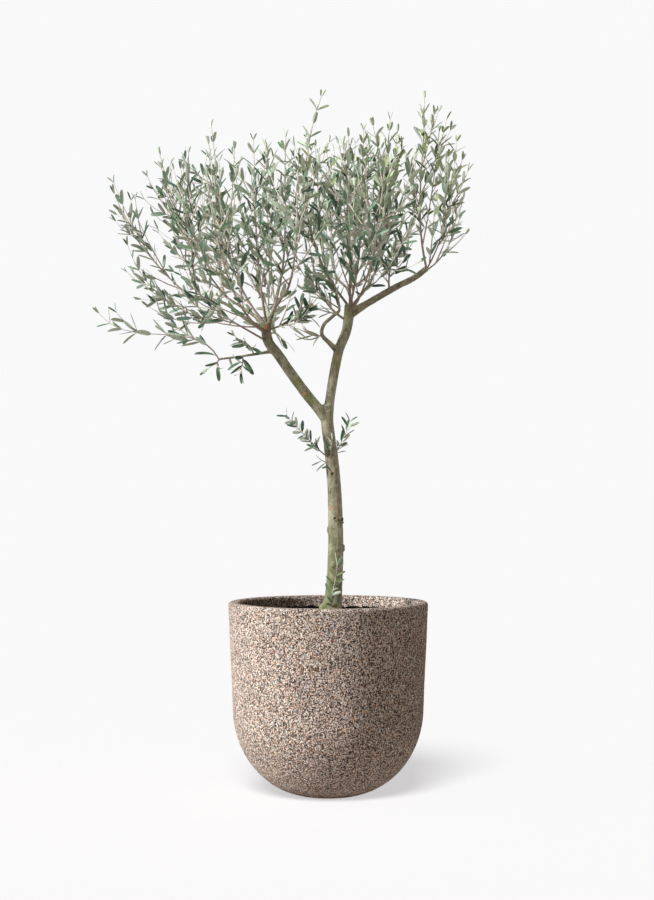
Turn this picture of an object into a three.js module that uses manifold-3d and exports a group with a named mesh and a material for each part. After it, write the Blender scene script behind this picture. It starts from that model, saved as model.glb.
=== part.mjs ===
import * as THREE from 'three';
import { mergeVertices } from 'three/addons/utils/BufferGeometryUtils.js';
import Module from 'manifold-3d';

const wasm = await Module();
wasm.setup();

// A potted olive tree: a round washed-aggregate pot filled with soil, one slender trunk that
// forks in two main boughs, and an open crown of upright, narrow-leaved sprays.
// Millimetres, +Z up, origin at the centre of the pot's flat underside.

// Clearance between one piece and the next
const gap = 0.3;

// Pot: a slightly tapered wall over an elliptical bowl, cut flat where it stands
const potHeight = 413;
const potRimRadius = 215;
const potWallFootRadius = 205;
const potBowlHeight = 184;
const potBowlCentreRadius = 36;
const potBowlDrop = 187;
const potWall = 25;
const potRimRounding = 6;
const rimCornerShare = 0.3;
const potSides = 40;
const potBowlSteps = 6;

// Soil: it fills the pot to a little below the rim, and lies flat under the trunk
const soilTop = 390;
const soilEdgeDip = 2;
const soilFlatShare = 0.7;

// Root flare of the trunk
const flareGrowth = 5;
const flareHeight = 15;
const flareLobe = 0.16;
const flareLobeTurn = 2.6;

// Girth of a mass of foliage along its stem, as shares of its spread
const girthWidestAt = 0.45;
const girthAtFoot = 0.55;
const girthAtTip = 0.45;
const girthFall = 2.2;

// Stems and side shoots. The full rule grows every shoot, and the solids keep one in "shootStride".
const stemFootRadius = 3.2;
const stemTipRadius = 1.3;
const usualSpread = 80;
const slimmestStem = 0.6;
const stemHandle = 0.36;
const stemSteps = 14;
const stemFacets = 6;
const shootShare = 0.6;
const shootStride = 2;
const shootFootShare = 0.42;
const shootTipRadius = 0.8;
const shootSteps = 8;
const shootFacets = 2;
const lastShootAt = 0.8;
const bareLeader = 0.06;
const shootExtra = 24;
const shootLift = 0.55;
const shootShift = 0.6;
const shootLengths = [0.7, 1.02];
const shootSpreads = [0.12, 1.1];
const shootCurl = 0.72;
const widestLeaning = 0.88;
const leastAngle = 0.35;
const turnShift = 0.5;
const goldenTurn = 2.399;
const firstSeed = 11;
const leafSeed = 100;

// Leaves: each stands for the two or three of a real spray
const shortestLeaf = 36;
const longestLeaf = 84;
const leafWidthShare = 0.24;
const leafThicknessShare = 0.024;
const leafRootShare = 0.015;
const leafSpacingShare = 0.82;
const leafTurn = 2.2;
const leafTurnShift = 0.4;
const firstLeafShift = 0.4;
const leafAngles = [0.5, 0.9];
const leafLengths = [0.85, 1.1];
const leafProbes = [0.3, 0.55, 0.8, 0.93];
const leafMargin = 0.6;
const endLeafShare = 0.8;
const endLeafAt = 0.999;
const tipLeafReach = 28;
const bareTwigShare = 0.12;

// Room that a mass keeps: shares of its reach for twigs, leaves and end leaves, and millimetres to limbs
const twigRoom = 1.12;
const leafRoom = 1.2;
const endLeafRoom = 3;
const limbRoom = 2;
const limbSamples = 24;

const up = new THREE.Vector3(0, 0, 1);

const stone = { color: 0x9b8a7e, roughness: 0.85, metalness: 0 };
const earth = { color: 0x2b2420, roughness: 1, metalness: 0 };
const bark = { color: 0x8f8a72, roughness: 0.9, metalness: 0 };
const leafGreen = { color: 0x7d8a6c, roughness: 0.6, metalness: 0 };

// Limbs in growing order. Each has the points that its centre line passes through and its radius
// at foot and tip. A limb's foot lies inside its parent and is then cut clear of it.
const limbTable = [
  { name: 'trunk', radii: [18.6, 13], sides: 14, steps: 16,
    points: [[9, 0, soilTop - 12], [16, 2, 520], [14, 0, 640], [7, -2, 725], [-2, 0, 800], [0, 0, 836]] },
  { name: 'left_bough', parent: 'trunk', radii: [11.2, 10.8], sides: 10, steps: 9,
    points: [[1, 0, 798], [-28, -8, 836], [-47, -12, 859], [-88, -21, 915],
      [-110, -26, 947], [-127, -29, 968], [-132, -30, 988], [-132, -30, 1012]] },
  { name: 'right_bough', parent: 'trunk', radii: [10.3, 11], sides: 10, steps: 9,
    points: [[0, 0, 806], [4, 2, 850], [15, 8, 916], [24, 12, 957], [40, 18, 999], [47, 22, 1054]] },
  { name: 'far_right_bough', parent: 'right_bough', radii: [8, 6.5], sides: 8, steps: 7,
    points: [[42, 19, 1030], [100, 12, 1064], [150, 4, 1092], [183, -1, 1108], [213, -5, 1130]] },
  { name: 'left_reach_branch', parent: 'left_bough', radii: [5, 3], sides: 6, steps: 7,
    points: [[-128, -29, 990], [-180, -28, 1022], [-207, -24, 1044], [-237, -20, 1059], [-297, -14, 1070]] },
  { name: 'left_back_branch', parent: 'left_bough', radii: [5, 3], sides: 6, steps: 6,
    points: [[-130, -29, 1001], [-162, 0, 1030], [-190, 35, 1050], [-222, 70, 1072]] },
  { name: 'low_left_branch', parent: 'left_bough', radii: [3.4, 2.8], sides: 6, steps: 5,
    points: [[-108, -24, 952], [-165, -38, 942], [-196, -44, 937], [-233, -50, 932]] },
  { name: 'inner_branch', parent: 'right_bough', radii: [5.2, 3.8], sides: 6, steps: 8,
    points: [[22, 10, 950], [4, 2, 968], [-14, -6, 988], [-9, -12, 1008], [8, -16, 1024], [24, -16, 1037]] },
  { name: 'back_branch', parent: 'right_bough', radii: [5, 3.4], sides: 6, steps: 5,
    points: [[45, 20, 1036], [50, 70, 1068], [40, 125, 1100]] },
  { name: 'front_branch', parent: 'left_bough', radii: [5, 3.4], sides: 6, steps: 5,
    points: [[-130, -29, 999], [-112, -85, 1040], [-85, -125, 1075]] },
];

// Masses of foliage. A mass grows on its limb: its stem leaves the limb's centre line a share "at"
// of the way along, "off" to one side, sets out along "heading" and bends up to "tip". It keeps
// within "spread" of the stem, has "shoots" side shoots, and is bare for the share "bare".
// "lean" bends its end to one side, and "leader" is the share that rises alone above its shoots.
const massTable = [
  { name: 'far_left_spray', limb: 'low_left_branch', at: 1, off: [0, 0, 0.5],
    heading: [-0.45, -0.05, 0.9], tip: [-497, -46, 1042], spread: 42, upturn: 0.45, bare: 0.1, shoots: 4 },
  { name: 'low_left_foliage', limb: 'low_left_branch', at: 0.42, off: [0, 0, 2],
    heading: [-0.1, -0.6, 0.75], tip: [-206, -84, 988], spread: 50, upturn: 0, bare: 0.03, shoots: 9 },
  { name: 'low_left_tuft', limb: 'low_left_branch', at: 0.6, off: [0, 0, -1], heading: [0.1, -0.75, -0.6],
    tip: [-186, -92, 892], spread: 42, upturn: 0, bare: 0.08, shoots: 5 },
  { name: 'low_left_sprig', limb: 'low_left_branch', at: 1, off: [0, -0.5, -1.5],
    heading: [-0.3, -0.6, -0.7], tip: [-264, -72, 903], spread: 30, upturn: 0, bare: 0.08, shoots: 2 },
  { name: 'left_sweep_foliage', limb: 'left_reach_branch', at: 0.12, off: [0, 0, 0],
    heading: [-0.95, 0.2, 0], tip: [-437, 20, 1196], spread: 38, upturn: 0.7, bare: 0.2, shoots: 10 },
  { name: 'left_far_foliage', limb: 'left_reach_branch', at: 1, off: [0, 1, 0],
    heading: [-0.8, 0.05, 0.6], tip: [-464, -30, 1324], spread: 40, upturn: 0.35, bare: 0.05, shoots: 12 },
  { name: 'left_crest_foliage', limb: 'left_reach_branch', at: 0.92, off: [0, -1, 0],
    heading: [-0.1, -0.5, 0.8], tip: [-297, -70, 1382], spread: 66, upturn: 0.3, bare: 0.08, shoots: 12 },
  { name: 'left_high_foliage', limb: 'left_back_branch', at: 1, off: [0, -1, 0], heading: [-0.6, 0, 0.7],
    tip: [-368, 30, 1390], spread: 62, upturn: 0.4, bare: 0.05, shoots: 13 },
  { name: 'left_top_foliage', limb: 'left_bough', at: 1, off: [-5.5, 3, 0], heading: [-0.6, 0.25, 0.7],
    tip: [-254, 10, 1451], spread: 84, upturn: 0.5, bare: 0.08, shoots: 15 },
  { name: 'mid_left_foliage', limb: 'left_bough', at: 1, off: [0, -6, 0], heading: [-0.15, -0.5, 0.8],
    tip: [-160, -50, 1414], spread: 88, upturn: 0.5, bare: 0.08, shoots: 17 },
  { name: 'mid_high_foliage', limb: 'left_bough', at: 1, off: [5, 4, 0], heading: [0.3, 0.4, 0.8],
    tip: [-92, 60, 1436], spread: 85, upturn: 0.5, bare: 0.08, shoots: 14 },
  { name: 'mid_low_foliage', limb: 'left_bough', at: 0.94, off: [6, -4, 0], heading: [0.85, -0.35, 0.2],
    tip: [-8, -84, 1082], spread: 60, upturn: 0.35, bare: 0.12, shoots: 13 },
  { name: 'neck_sprig', limb: 'left_bough', at: 0.9, off: [6, -6, 0], heading: [0.95, -0.3, 0.5],
    tip: [-72, -50, 960], spread: 34, upturn: 0, bare: 0.2, shoots: 0 },
  { name: 'tallest_foliage', limb: 'right_bough', at: 1, off: [-6, 0, 0], heading: [-0.6, -0.3, 0.7],
    tip: [-10, -10, 1512], spread: 84, upturn: 0.6, bare: 0.08, shoots: 18,
    leader: 0.2, lean: 0.4 },
  { name: 'mid_right_foliage', limb: 'right_bough', at: 1, off: [0, -6.5, 0], heading: [0, -0.6, 0.75],
    tip: [43, -80, 1416], spread: 80, upturn: 0.5, bare: 0.05, shoots: 18 },
  { name: 'right_crest_foliage', limb: 'right_bough', at: 1, off: [0.5, 6, 0], heading: [0.2, 0.5, 0.75],
    tip: [78, 60, 1452], spread: 85, upturn: 0.5, bare: 0.05, shoots: 14 },
  { name: 'right_top_foliage', limb: 'right_bough', at: 1, off: [6.5, 0, 0], heading: [0.7, 0, 0.7],
    tip: [134, -10, 1464], spread: 80, upturn: 0.5, bare: 0.08, shoots: 15 },
  { name: 'right_tall_foliage', limb: 'far_right_bough', at: 1, off: [-2, 3, 1],
    heading: [-0.2, 0.35, 0.95], tip: [208, 20, 1514], spread: 70, upturn: 0.4, bare: 0.02, shoots: 14 },
  { name: 'right_low_foliage', limb: 'far_right_bough', at: 0.52, off: [0, -1, 4],
    heading: [-0.1, -0.5, 0.85], tip: [150, -76, 1216], spread: 64, upturn: 0.4, bare: 0.05, shoots: 12 },
  { name: 'right_outer_foliage', limb: 'far_right_bough', at: 1, off: [0, -3.4, 0],
    heading: [0.4, -0.5, 0.7], tip: [276, -40, 1412], spread: 40, upturn: 0.5, bare: 0.03, shoots: 11 },
  { name: 'right_edge_foliage', limb: 'far_right_bough', at: 1, off: [2.2, 2.4, -2.2],
    heading: [0.72, 0.25, 0.52], tip: [284, 46, 1320], spread: 28, upturn: 0.75, bare: 0.06, shoots: 8 },
  { name: 'front_left_foliage', limb: 'left_bough', at: 0.93, off: [-3, -3, 0],
    heading: [-0.5, -0.9, 0.2], tip: [-250, -225, 1310], spread: 100, upturn: 0.6, bare: 0.12, shoots: 12 },
  { name: 'front_mid_foliage', limb: 'front_branch', at: 1, off: [0, 0, 0], heading: [0.2, -0.8, 0.4],
    tip: [-60, -250, 1352], spread: 98, upturn: 0.5, bare: 0.03, shoots: 12 },
  { name: 'front_right_foliage', limb: 'right_bough', at: 0.93, off: [1, -4, 0],
    heading: [0.3, -0.95, 0.25], tip: [120, -220, 1370], spread: 104, upturn: 0.6, bare: 0.12, shoots: 13 },
  { name: 'back_left_foliage', limb: 'left_back_branch', at: 0.96, off: [0, 1, 0],
    heading: [-0.3, 0.9, 0.3], tip: [-250, 230, 1330], spread: 100, upturn: 0.5, bare: 0.05, shoots: 11 },
  { name: 'back_mid_foliage', limb: 'back_branch', at: 1, off: [-1.2, 0, 0], heading: [-0.5, 0.8, 0.4],
    tip: [12, 255, 1400], spread: 100, upturn: 0.5, bare: 0.05, shoots: 11 },
  { name: 'back_right_foliage', limb: 'back_branch', at: 0.93, off: [1, 0, 0], heading: [0.9, 0.5, 0.3],
    tip: [130, 225, 1390], spread: 100, upturn: 0.5, bare: 0.05, shoots: 11 },
  { name: 'inner_low_foliage', limb: 'inner_branch', at: 1, off: [0, 0, 0], heading: [0, -0.6, 0.6],
    tip: [-14, -95, 1180], spread: 92, upturn: 0.5, bare: 0.02, shoots: 14 },
  { name: 'inner_high_foliage', limb: 'right_bough', at: 0.86, off: [-3, -3, 0],
    heading: [-0.8, -0.2, 0.4], tip: [-45, 20, 1200], spread: 78, upturn: 0.5, bare: 0.08, shoots: 12 },
  { name: 'inner_green_foliage', limb: 'inner_branch', at: 0.42, off: [-1, -1, 0],
    heading: [-0.9, -0.3, -0.1], tip: [-84, -38, 1003], spread: 38, upturn: 0, bare: 0.03, shoots: 5 },
  { name: 'low_front_foliage', limb: 'left_bough', at: 0.84, off: [-3, -2, 0],
    heading: [-0.75, -0.5, 0.45], tip: [-305, -118, 1128], spread: 66, upturn: 0.5, bare: 0.3, shoots: 10 },
  { name: 'low_back_foliage', limb: 'left_bough', at: 0.9, off: [0, 3, 0], heading: [0, 0.95, 0.2],
    tip: [-130, 150, 1180], spread: 95, upturn: 0.5, bare: 0.15, shoots: 11 },
  { name: 'left_trunk_sprout', limb: 'trunk', at: 0.745, off: [-3, -8, 0], heading: [-0.7, -0.5, 0.5],
    tip: [-100, -40, 822], spread: 38, upturn: 0, bare: 0.08, shoots: 0 },
  { name: 'right_trunk_sprout', limb: 'trunk', at: 0.73, off: [-1, -9, 0], heading: [0.35, -0.45, 0.8],
    tip: [50, -36, 814], spread: 34, upturn: 0.3, bare: 0.12, shoots: 0 },
  { name: 'front_trunk_sprout', limb: 'trunk', at: 0.742, off: [1, -9, 0], heading: [-0.35, -0.4, 0.8],
    tip: [8, -34, 776], spread: 32, upturn: 0.2, bare: 0.1, shoots: 0 },
  { name: 'low_trunk_sprig', limb: 'trunk', at: 0.705, off: [0, 0, 0], heading: [-0.6, -0.4, 0.6],
    tip: [-36, -28, 740], spread: 26, upturn: 0.2, bare: 0.1, shoots: 0 },
  { name: 'foot_sprout', limb: 'trunk', at: 0.035, off: [0, 0, 0], heading: [-0.3, -0.95, 0.3],
    tip: [20, -48, 506], spread: 30, upturn: 0.3, bare: 0.12, shoots: 0 },
];

// A repeatable stream of numbers between two limits
function makeDraw(seed) {
  const modulus = 4294967296;
  let state = (seed * 2654435761 + 12345) % modulus;
  const draw = (low, high) => {
    state = (state * 1664525 + 1013904223) % modulus;
    return low + ((high - low) * state) / modulus;
  };
  draw(0, 1);
  draw(0, 1);
  draw(0, 1);
  return draw;
}

function mix(from, to, share) {
  return from + (to - from) * share;
}

function mixed(from, to, share) {
  return from.clone().lerp(to, share).normalize();
}

// A closed geometry as a solid that can be joined and cut
function toSolid(geometry) {
  geometry.deleteAttribute('normal');
  geometry.deleteAttribute('uv');
  const merged = mergeVertices(geometry);
  return new wasm.Manifold(new wasm.Mesh({
    numProp: 3,
    vertProperties: new Float32Array(merged.attributes.position.array),
    triVerts: new Uint32Array(merged.index.array),
  }));
}

// The largest closed shell of a solid: loose scraps go, and hollows that joining sealed are filled
function largestShell(solid) {
  const { vertProperties, triVerts } = solid.getMesh();
  const parent = Array.from({ length: vertProperties.length / 3 }, (_, index) => index);
  const rootOf = (index) => {
    let root = index;
    while (parent[root] !== root) {
      parent[root] = parent[parent[root]];
      root = parent[root];
    }
    return root;
  };
  for (let start = 0; start < triVerts.length; start += 3) {
    parent[rootOf(triVerts[start + 1])] = rootOf(triVerts[start]);
    parent[rootOf(triVerts[start + 2])] = rootOf(triVerts[start]);
  }
  const shells = new Map();
  for (let start = 0; start < triVerts.length; start += 3) {
    const root = rootOf(triVerts[start]);
    if (!shells.has(root)) shells.set(root, []);
    shells.get(root).push(triVerts[start], triVerts[start + 1], triVerts[start + 2]);
  }
  const sorted = [...shells.values()].sort((one, other) => other.length - one.length);
  const geometry = new THREE.BufferGeometry();
  geometry.setAttribute('position', new THREE.BufferAttribute(new Float32Array(vertProperties), 3));
  geometry.setIndex(sorted[0]);
  return geometry;
}

function namedMesh(name, geometry, finish) {
  geometry.computeVertexNormals();
  const mesh = new THREE.Mesh(geometry, new THREE.MeshStandardMaterial(finish));
  mesh.name = name;
  return mesh;
}

// Places and directions along a path, with side directions that turn as little as possible
function stationsAlong(path, steps) {
  const curve = new THREE.CatmullRomCurve3(path, false, 'centripetal');
  const stations = [];
  let side = new THREE.Vector3(0.13, 1, 0);
  for (let step = 0; step <= steps; step += 1) {
    const along = curve.getTangentAt(step / steps);
    side = side.clone().addScaledVector(along, -side.dot(along)).normalize();
    const centre = curve.getPointAt(step / steps);
    stations.push({ centre, along, side, across: along.clone().cross(side) });
  }
  return stations;
}

// A round rod bent along a path: radiusAt gives its radius for a share of the way and a turn
function bentRod(path, sides, steps, radiusAt) {
  const stations = stationsAlong(path, steps);
  const geometry = new THREE.CylinderGeometry(1, 1, 1, sides, steps);
  const position = geometry.attributes.position;
  for (let index = 0; index < position.count; index += 1) {
    const share = position.getY(index) + 0.5;
    const station = stations[Math.round(share * steps)];
    const turn = Math.atan2(position.getX(index), position.getZ(index));
    const reach = Math.hypot(position.getX(index), position.getZ(index)) * radiusAt(share, turn);
    const place = station.centre.clone()
      .addScaledVector(station.side, Math.cos(turn) * reach)
      .addScaledVector(station.across, Math.sin(turn) * reach);
    position.setXYZ(index, place.x, place.y, place.z);
  }
  return geometry;
}

// Pot

function potProfile() {
  const wallHeight = potHeight - potBowlHeight;
  const outer = (height) => mix(potWallFootRadius, potRimRadius, (height - potBowlHeight) / wallHeight);
  const bowl = (reach, drop, startHeight) => {
    const lowest = Math.asin(startHeight / drop);
    const points = [];
    for (let step = 0; step <= potBowlSteps; step += 1) {
      const angle = lowest * (1 - step / potBowlSteps);
      points.push(new THREE.Vector2(
        potBowlCentreRadius + reach * Math.cos(angle),
        potBowlHeight - drop * Math.sin(angle),
      ));
    }
    return points;
  };
  const bowlReach = potWallFootRadius - potBowlCentreRadius;
  const outerBowl = bowl(bowlReach, potBowlDrop, potBowlHeight);
  const innerBowl = bowl(bowlReach - potWall, potBowlDrop - potWall, potBowlHeight - potWall);
  const rimInner = potRimRadius - potWall;
  const rounding = potRimRounding;
  return {
    outline: [
      new THREE.Vector2(0, 0),
      ...outerBowl,
      new THREE.Vector2(outer(potHeight - rounding), potHeight - rounding),
      new THREE.Vector2(potRimRadius - rounding * rimCornerShare, potHeight - rounding * rimCornerShare),
      new THREE.Vector2(potRimRadius - rounding, potHeight),
      new THREE.Vector2(rimInner + rounding, potHeight),
      new THREE.Vector2(rimInner + rounding * rimCornerShare, potHeight - rounding * rimCornerShare),
      new THREE.Vector2(rimInner, potHeight - rounding),
      ...innerBowl.toReversed(),
      new THREE.Vector2(0, potWall),
    ],
    inside: innerBowl,
    rimInner,
  };
}

function makeLathe(outline) {
  const geometry = new THREE.LatheGeometry(outline, potSides);
  geometry.rotateX(Math.PI / 2);
  return largestShell(toSolid(geometry));
}

function makePot() {
  return namedMesh('pot', makeLathe(potProfile().outline), stone);
}

function makeSoil() {
  const { inside, rimInner } = potProfile();
  const room = gap / Math.cos(Math.PI / potSides);
  const wallFoot = inside[inside.length - 1];
  const wallShare = (soilTop - soilEdgeDip - wallFoot.y) / (potHeight - potRimRounding - wallFoot.y);
  const outline = [
    new THREE.Vector2(0, potWall + gap),
    ...inside.filter((_, step) => step % 2 === 0)
      .map((point) => new THREE.Vector2(point.x - room, Math.max(point.y, potWall + gap) + gap)),
    new THREE.Vector2(mix(wallFoot.x, rimInner, wallShare) - room, soilTop - soilEdgeDip),
    new THREE.Vector2(rimInner * soilFlatShare, soilTop),
    new THREE.Vector2(0, soilTop),
  ];
  return namedMesh('soil', makeLathe(outline), earth);
}

// Limbs

function limbRadius(limb, share, turn) {
  const plain = mix(limb.radii[0], limb.radii[1], share);
  if (limb.name !== 'trunk') return plain;
  const height = Math.max(mix(limb.points[0][2], limb.points.at(-1)[2], share) - soilTop, 0);
  const flare = Math.exp(-height / flareHeight);
  const lobes = 1 + flareLobe * flare * Math.cos(3 * (turn - flareLobeTurn));
  return (plain + flareGrowth * flare) * lobes;
}

function limbPath(limb, lengthening) {
  const path = limb.points.map((point) => new THREE.Vector3(...point));
  const last = path.at(-1);
  const along = last.clone().sub(path.at(-2)).normalize();
  last.addScaledVector(along, lengthening);
  return path;
}

// The limb as a solid, "extra" thicker all round and longer at its tip
function limbSolid(limb, extra) {
  const room = extra / Math.cos(Math.PI / limb.sides);
  const radiusAt = (share, turn) => limbRadius(limb, share, turn) + room;
  return toSolid(bentRod(limbPath(limb, extra), limb.sides, limb.steps, radiusAt));
}

const limbs = limbTable.map((limb) => {
  const path = limbPath(limb, 0);
  const curve = new THREE.CatmullRomCurve3(path, false, 'centripetal');
  return { ...limb, curve, samples: curve.getSpacedPoints(limbSamples), cutter: limbSolid(limb, gap) };
});

function limbNamed(name) {
  return limbs.find((limb) => limb.name === name);
}

// All that lies below the flat cut at the soil
function groundBlock() {
  const depth = 60;
  const block = new THREE.CylinderGeometry(potWallFootRadius, potWallFootRadius, depth, 6);
  block.rotateX(Math.PI / 2);
  block.translate(0, 0, soilTop + gap - depth / 2);
  return toSolid(block);
}

function makeLimb(limb) {
  let solid = limbSolid(limb, 0);
  const older = limbs.slice(0, limbs.indexOf(limb));
  for (const other of older) solid = solid.subtract(other.cutter);
  if (limb.name === 'trunk') solid = solid.subtract(groundBlock());
  return namedMesh(limb.name, largestShell(solid), bark);
}

// Foliage

// How wide a mass is along its stem, as a share of its spread
function girth(share) {
  if (share < girthWidestAt) {
    return girthAtFoot + (1 - girthAtFoot) * Math.sin((share / girthWidestAt) * (Math.PI / 2));
  }
  return 1 - (1 - girthAtTip) * ((share - girthWidestAt) / (1 - girthWidestAt)) ** girthFall;
}

function massStem(mass) {
  const foot = limbNamed(mass.limb).curve.getPointAt(mass.at).add(new THREE.Vector3(...mass.off));
  const end = new THREE.Vector3(...mass.tip);
  const span = foot.distanceTo(end);
  const heading = new THREE.Vector3(...mass.heading).normalize();
  const arrival = mixed(end.clone().sub(foot).normalize(), up, mass.upturn);
  arrival.add(new THREE.Vector3(mass.lean ?? 0, 0, 0)).normalize();
  end.addScaledVector(arrival, -tipLeafReach);
  const curve = new THREE.CubicBezierCurve3(
    foot,
    foot.clone().addScaledVector(heading, span * stemHandle),
    end.clone().addScaledVector(arrival, -span * stemHandle),
    end,
  );
  return curve.getPoints(stemSteps);
}

const masses = massTable.map((mass, index) => {
  const stem = massStem(mass);
  const core = [...stem, new THREE.Vector3(...mass.tip)];
  const reaches = core.map((_, step) => mass.spread * girth(Math.min(step / stemSteps, 1)));
  return { ...mass, seed: index + firstSeed, stem, core, reaches };
});

// Whether a ball of this radius lies in the mass's own space and clear of every limb
function hasRoom(mass, place, radius, farthest) {
  let own = Infinity;
  let others = Infinity;
  for (const other of masses) {
    for (let step = 0; step < other.core.length; step += 1) {
      const distance = place.distanceTo(other.core[step]);
      if (other === mass) own = Math.min(own, (distance + radius) / other.reaches[step]);
      else others = Math.min(others, (distance - radius) / other.reaches[step]);
    }
  }
  if (own > farthest || own >= others) return false;
  return limbs.every((limb) => limb.samples.every((sample, step) => {
    const thickness = limbRadius(limb, step / (limb.samples.length - 1), flareLobeTurn);
    return place.distanceTo(sample) > thickness + radius + limbRoom;
  }));
}

function placeOn(path, share) {
  const steps = path.length - 1;
  const step = Math.min(Math.floor(share * steps), steps - 1);
  const place = path[step].clone().lerp(path[step + 1], share * steps - step);
  const along = path[step + 1].clone().sub(path[step]).normalize();
  return { place, along };
}

function sideOf(along, turn) {
  const one = along.clone().cross(new THREE.Vector3(0, 1, 0.13)).normalize();
  const other = along.clone().cross(one);
  return one.multiplyScalar(Math.cos(turn)).addScaledVector(other, Math.sin(turn));
}

function pathLength(path) {
  let length = 0;
  for (let step = 1; step < path.length; step += 1) length += path[step].distanceTo(path[step - 1]);
  return length;
}

// A side shoot that leaves the stem at an angle and bends upwards, cut short where its room ends
function sideShoot(mass, share, turn, angle, length) {
  const { place, along } = placeOn(mass.stem, share);
  const side = sideOf(along, turn);
  const leaving = along.clone().multiplyScalar(Math.cos(angle)).addScaledVector(side, Math.sin(angle));
  const arriving = mixed(leaving, up, shootLift);
  const path = [place];
  for (let step = 1; step <= shootSteps; step += 1) {
    const way = step / shootSteps;
    const next = place.clone()
      .addScaledVector(leaving, length * (way - (way * way) / 2))
      .addScaledVector(arriving, (length * way * way) / 2);
    if (!hasRoom(mass, next, stemTipRadius, twigRoom)) break;
    path.push(next);
  }
  return path.length > 3 ? path : null;
}

// Side shoots that end near the height of the stem's tip, spread evenly over the girth
function massShoots(mass) {
  const draw = makeDraw(mass.seed);
  const stemLength = pathLength(mass.stem);
  const count = Math.round(mass.shoots * shootShare);
  const shoots = [];
  for (let index = 0; index < count; index += 1) {
    const share = mass.bare + (lastShootAt - mass.bare) * ((index + draw(0, shootShift)) / count);
    const turn = index * goldenTurn + draw(-turnShift, turnShift);
    const shootTop = 1 - (mass.leader ?? bareLeader);
    const length = (shootTop - share) * stemLength * draw(...shootLengths) + shootExtra;
    const sideways = mass.spread * Math.sqrt(draw(...shootSpreads));
    const leaning = Math.min(widestLeaning, sideways / (shootCurl * length));
    const angle = Math.max(Math.asin(leaning), leastAngle);
    if (index % shootStride > 0) continue;
    const shoot = sideShoot(mass, share, turn, angle, length);
    if (shoot) shoots.push({ path: shoot, share });
  }
  return shoots;
}

// One leaf as a thin eight-faced blade, from its root in the twig along a direction
function leafSolid(root, direction, facing, length) {
  const across = facing.clone().cross(direction).normalize();
  const blade = new THREE.OctahedronGeometry(1);
  const frame = new THREE.Matrix4().makeBasis(
    direction.clone().multiplyScalar(length / 2),
    across.multiplyScalar((length * leafWidthShare) / 2),
    direction.clone().cross(across).normalize().multiplyScalar((length * leafThicknessShare) / 2),
  );
  frame.setPosition(root.clone().addScaledVector(direction, length * (0.5 - leafRootShare)));
  return toSolid(blade.applyMatrix4(frame));
}

// A leaf that leaves a twig at an angle, or nothing where it has no room
function twigLeaf(mass, path, share, turn, angle, length, farthest) {
  const { place, along } = placeOn(path, share);
  const side = sideOf(along, turn);
  const direction = along.clone().multiplyScalar(Math.cos(angle)).addScaledVector(side, Math.sin(angle));
  const facing = along.clone().multiplyScalar(Math.sin(angle)).addScaledVector(side, -Math.cos(angle));
  const clear = leafProbes.every((way) => {
    const halfWidth = ((length * leafWidthShare) / 2) * (1 - Math.abs(2 * way - 1));
    const probe = place.clone().addScaledVector(direction, length * way);
    return hasRoom(mass, probe, halfWidth + leafMargin, farthest);
  });
  return clear ? leafSolid(place, direction, facing, length) : null;
}

// Leaves along a twig, each a good turn past the last, and one that ends it
function twigLeaves(mass, path, bare, draw) {
  const usual = THREE.MathUtils.clamp(mass.spread, shortestLeaf, longestLeaf);
  const count = Math.max(1, Math.round((pathLength(path) * (1 - bare)) / (usual * leafSpacingShare)));
  const leaves = [];
  for (let index = 0; index < count; index += 1) {
    const share = bare + (1 - bare) * ((index + firstLeafShift) / count);
    const turn = index * leafTurn + draw(-leafTurnShift, leafTurnShift);
    const angle = draw(...leafAngles);
    const length = usual * draw(...leafLengths);
    leaves.push(twigLeaf(mass, path, share, turn, angle, length, leafRoom));
  }
  const endLength = path === mass.stem ? tipLeafReach / (1 - leafRootShare) : usual * endLeafShare;
  leaves.push(twigLeaf(mass, path, endLeafAt, 0, 0, endLength, endLeafRoom));
  return leaves.filter((leaf) => leaf !== null);
}

function twigSolid(path, steps, footRadius, tipRadius) {
  return toSolid(bentRod(path, 3, steps, (share) => mix(footRadius, tipRadius, share)));
}

function makeMass(mass) {
  const draw = makeDraw(mass.seed + leafSeed);
  const size = THREE.MathUtils.clamp(mass.spread / usualSpread, slimmestStem, 1);
  const stemRadius = (share) => size * mix(stemFootRadius, stemTipRadius, share);
  let solid = twigSolid(mass.stem, stemFacets, stemRadius(0), stemRadius(1));
  const shoots = massShoots(mass);
  for (const shoot of shoots) {
    const footRadius = stemRadius(shoot.share) * shootFootShare;
    solid = solid.add(twigSolid(shoot.path, shootFacets, footRadius, shootTipRadius));
  }
  const stemLeaves = twigLeaves(mass, mass.stem, Math.max(mass.bare, bareTwigShare), draw);
  for (const leaf of stemLeaves) solid = solid.add(leaf);
  for (const shoot of shoots) {
    for (const leaf of twigLeaves(mass, shoot.path, bareTwigShare, draw)) solid = solid.add(leaf);
  }
  for (const limb of limbs) solid = solid.subtract(limb.cutter);
  return namedMesh(mass.name, largestShell(solid), leafGreen);
}

const group = new THREE.Group();
group.name = 'potted_olive_tree';
group.add(makePot());
group.add(makeSoil());
for (const limb of limbs) group.add(makeLimb(limb));
for (const mass of masses) group.add(makeMass(mass));

export default group;
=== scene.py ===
import math

import bmesh
import bpy
import numpy as np
from mathutils import Matrix, Vector, noise


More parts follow.
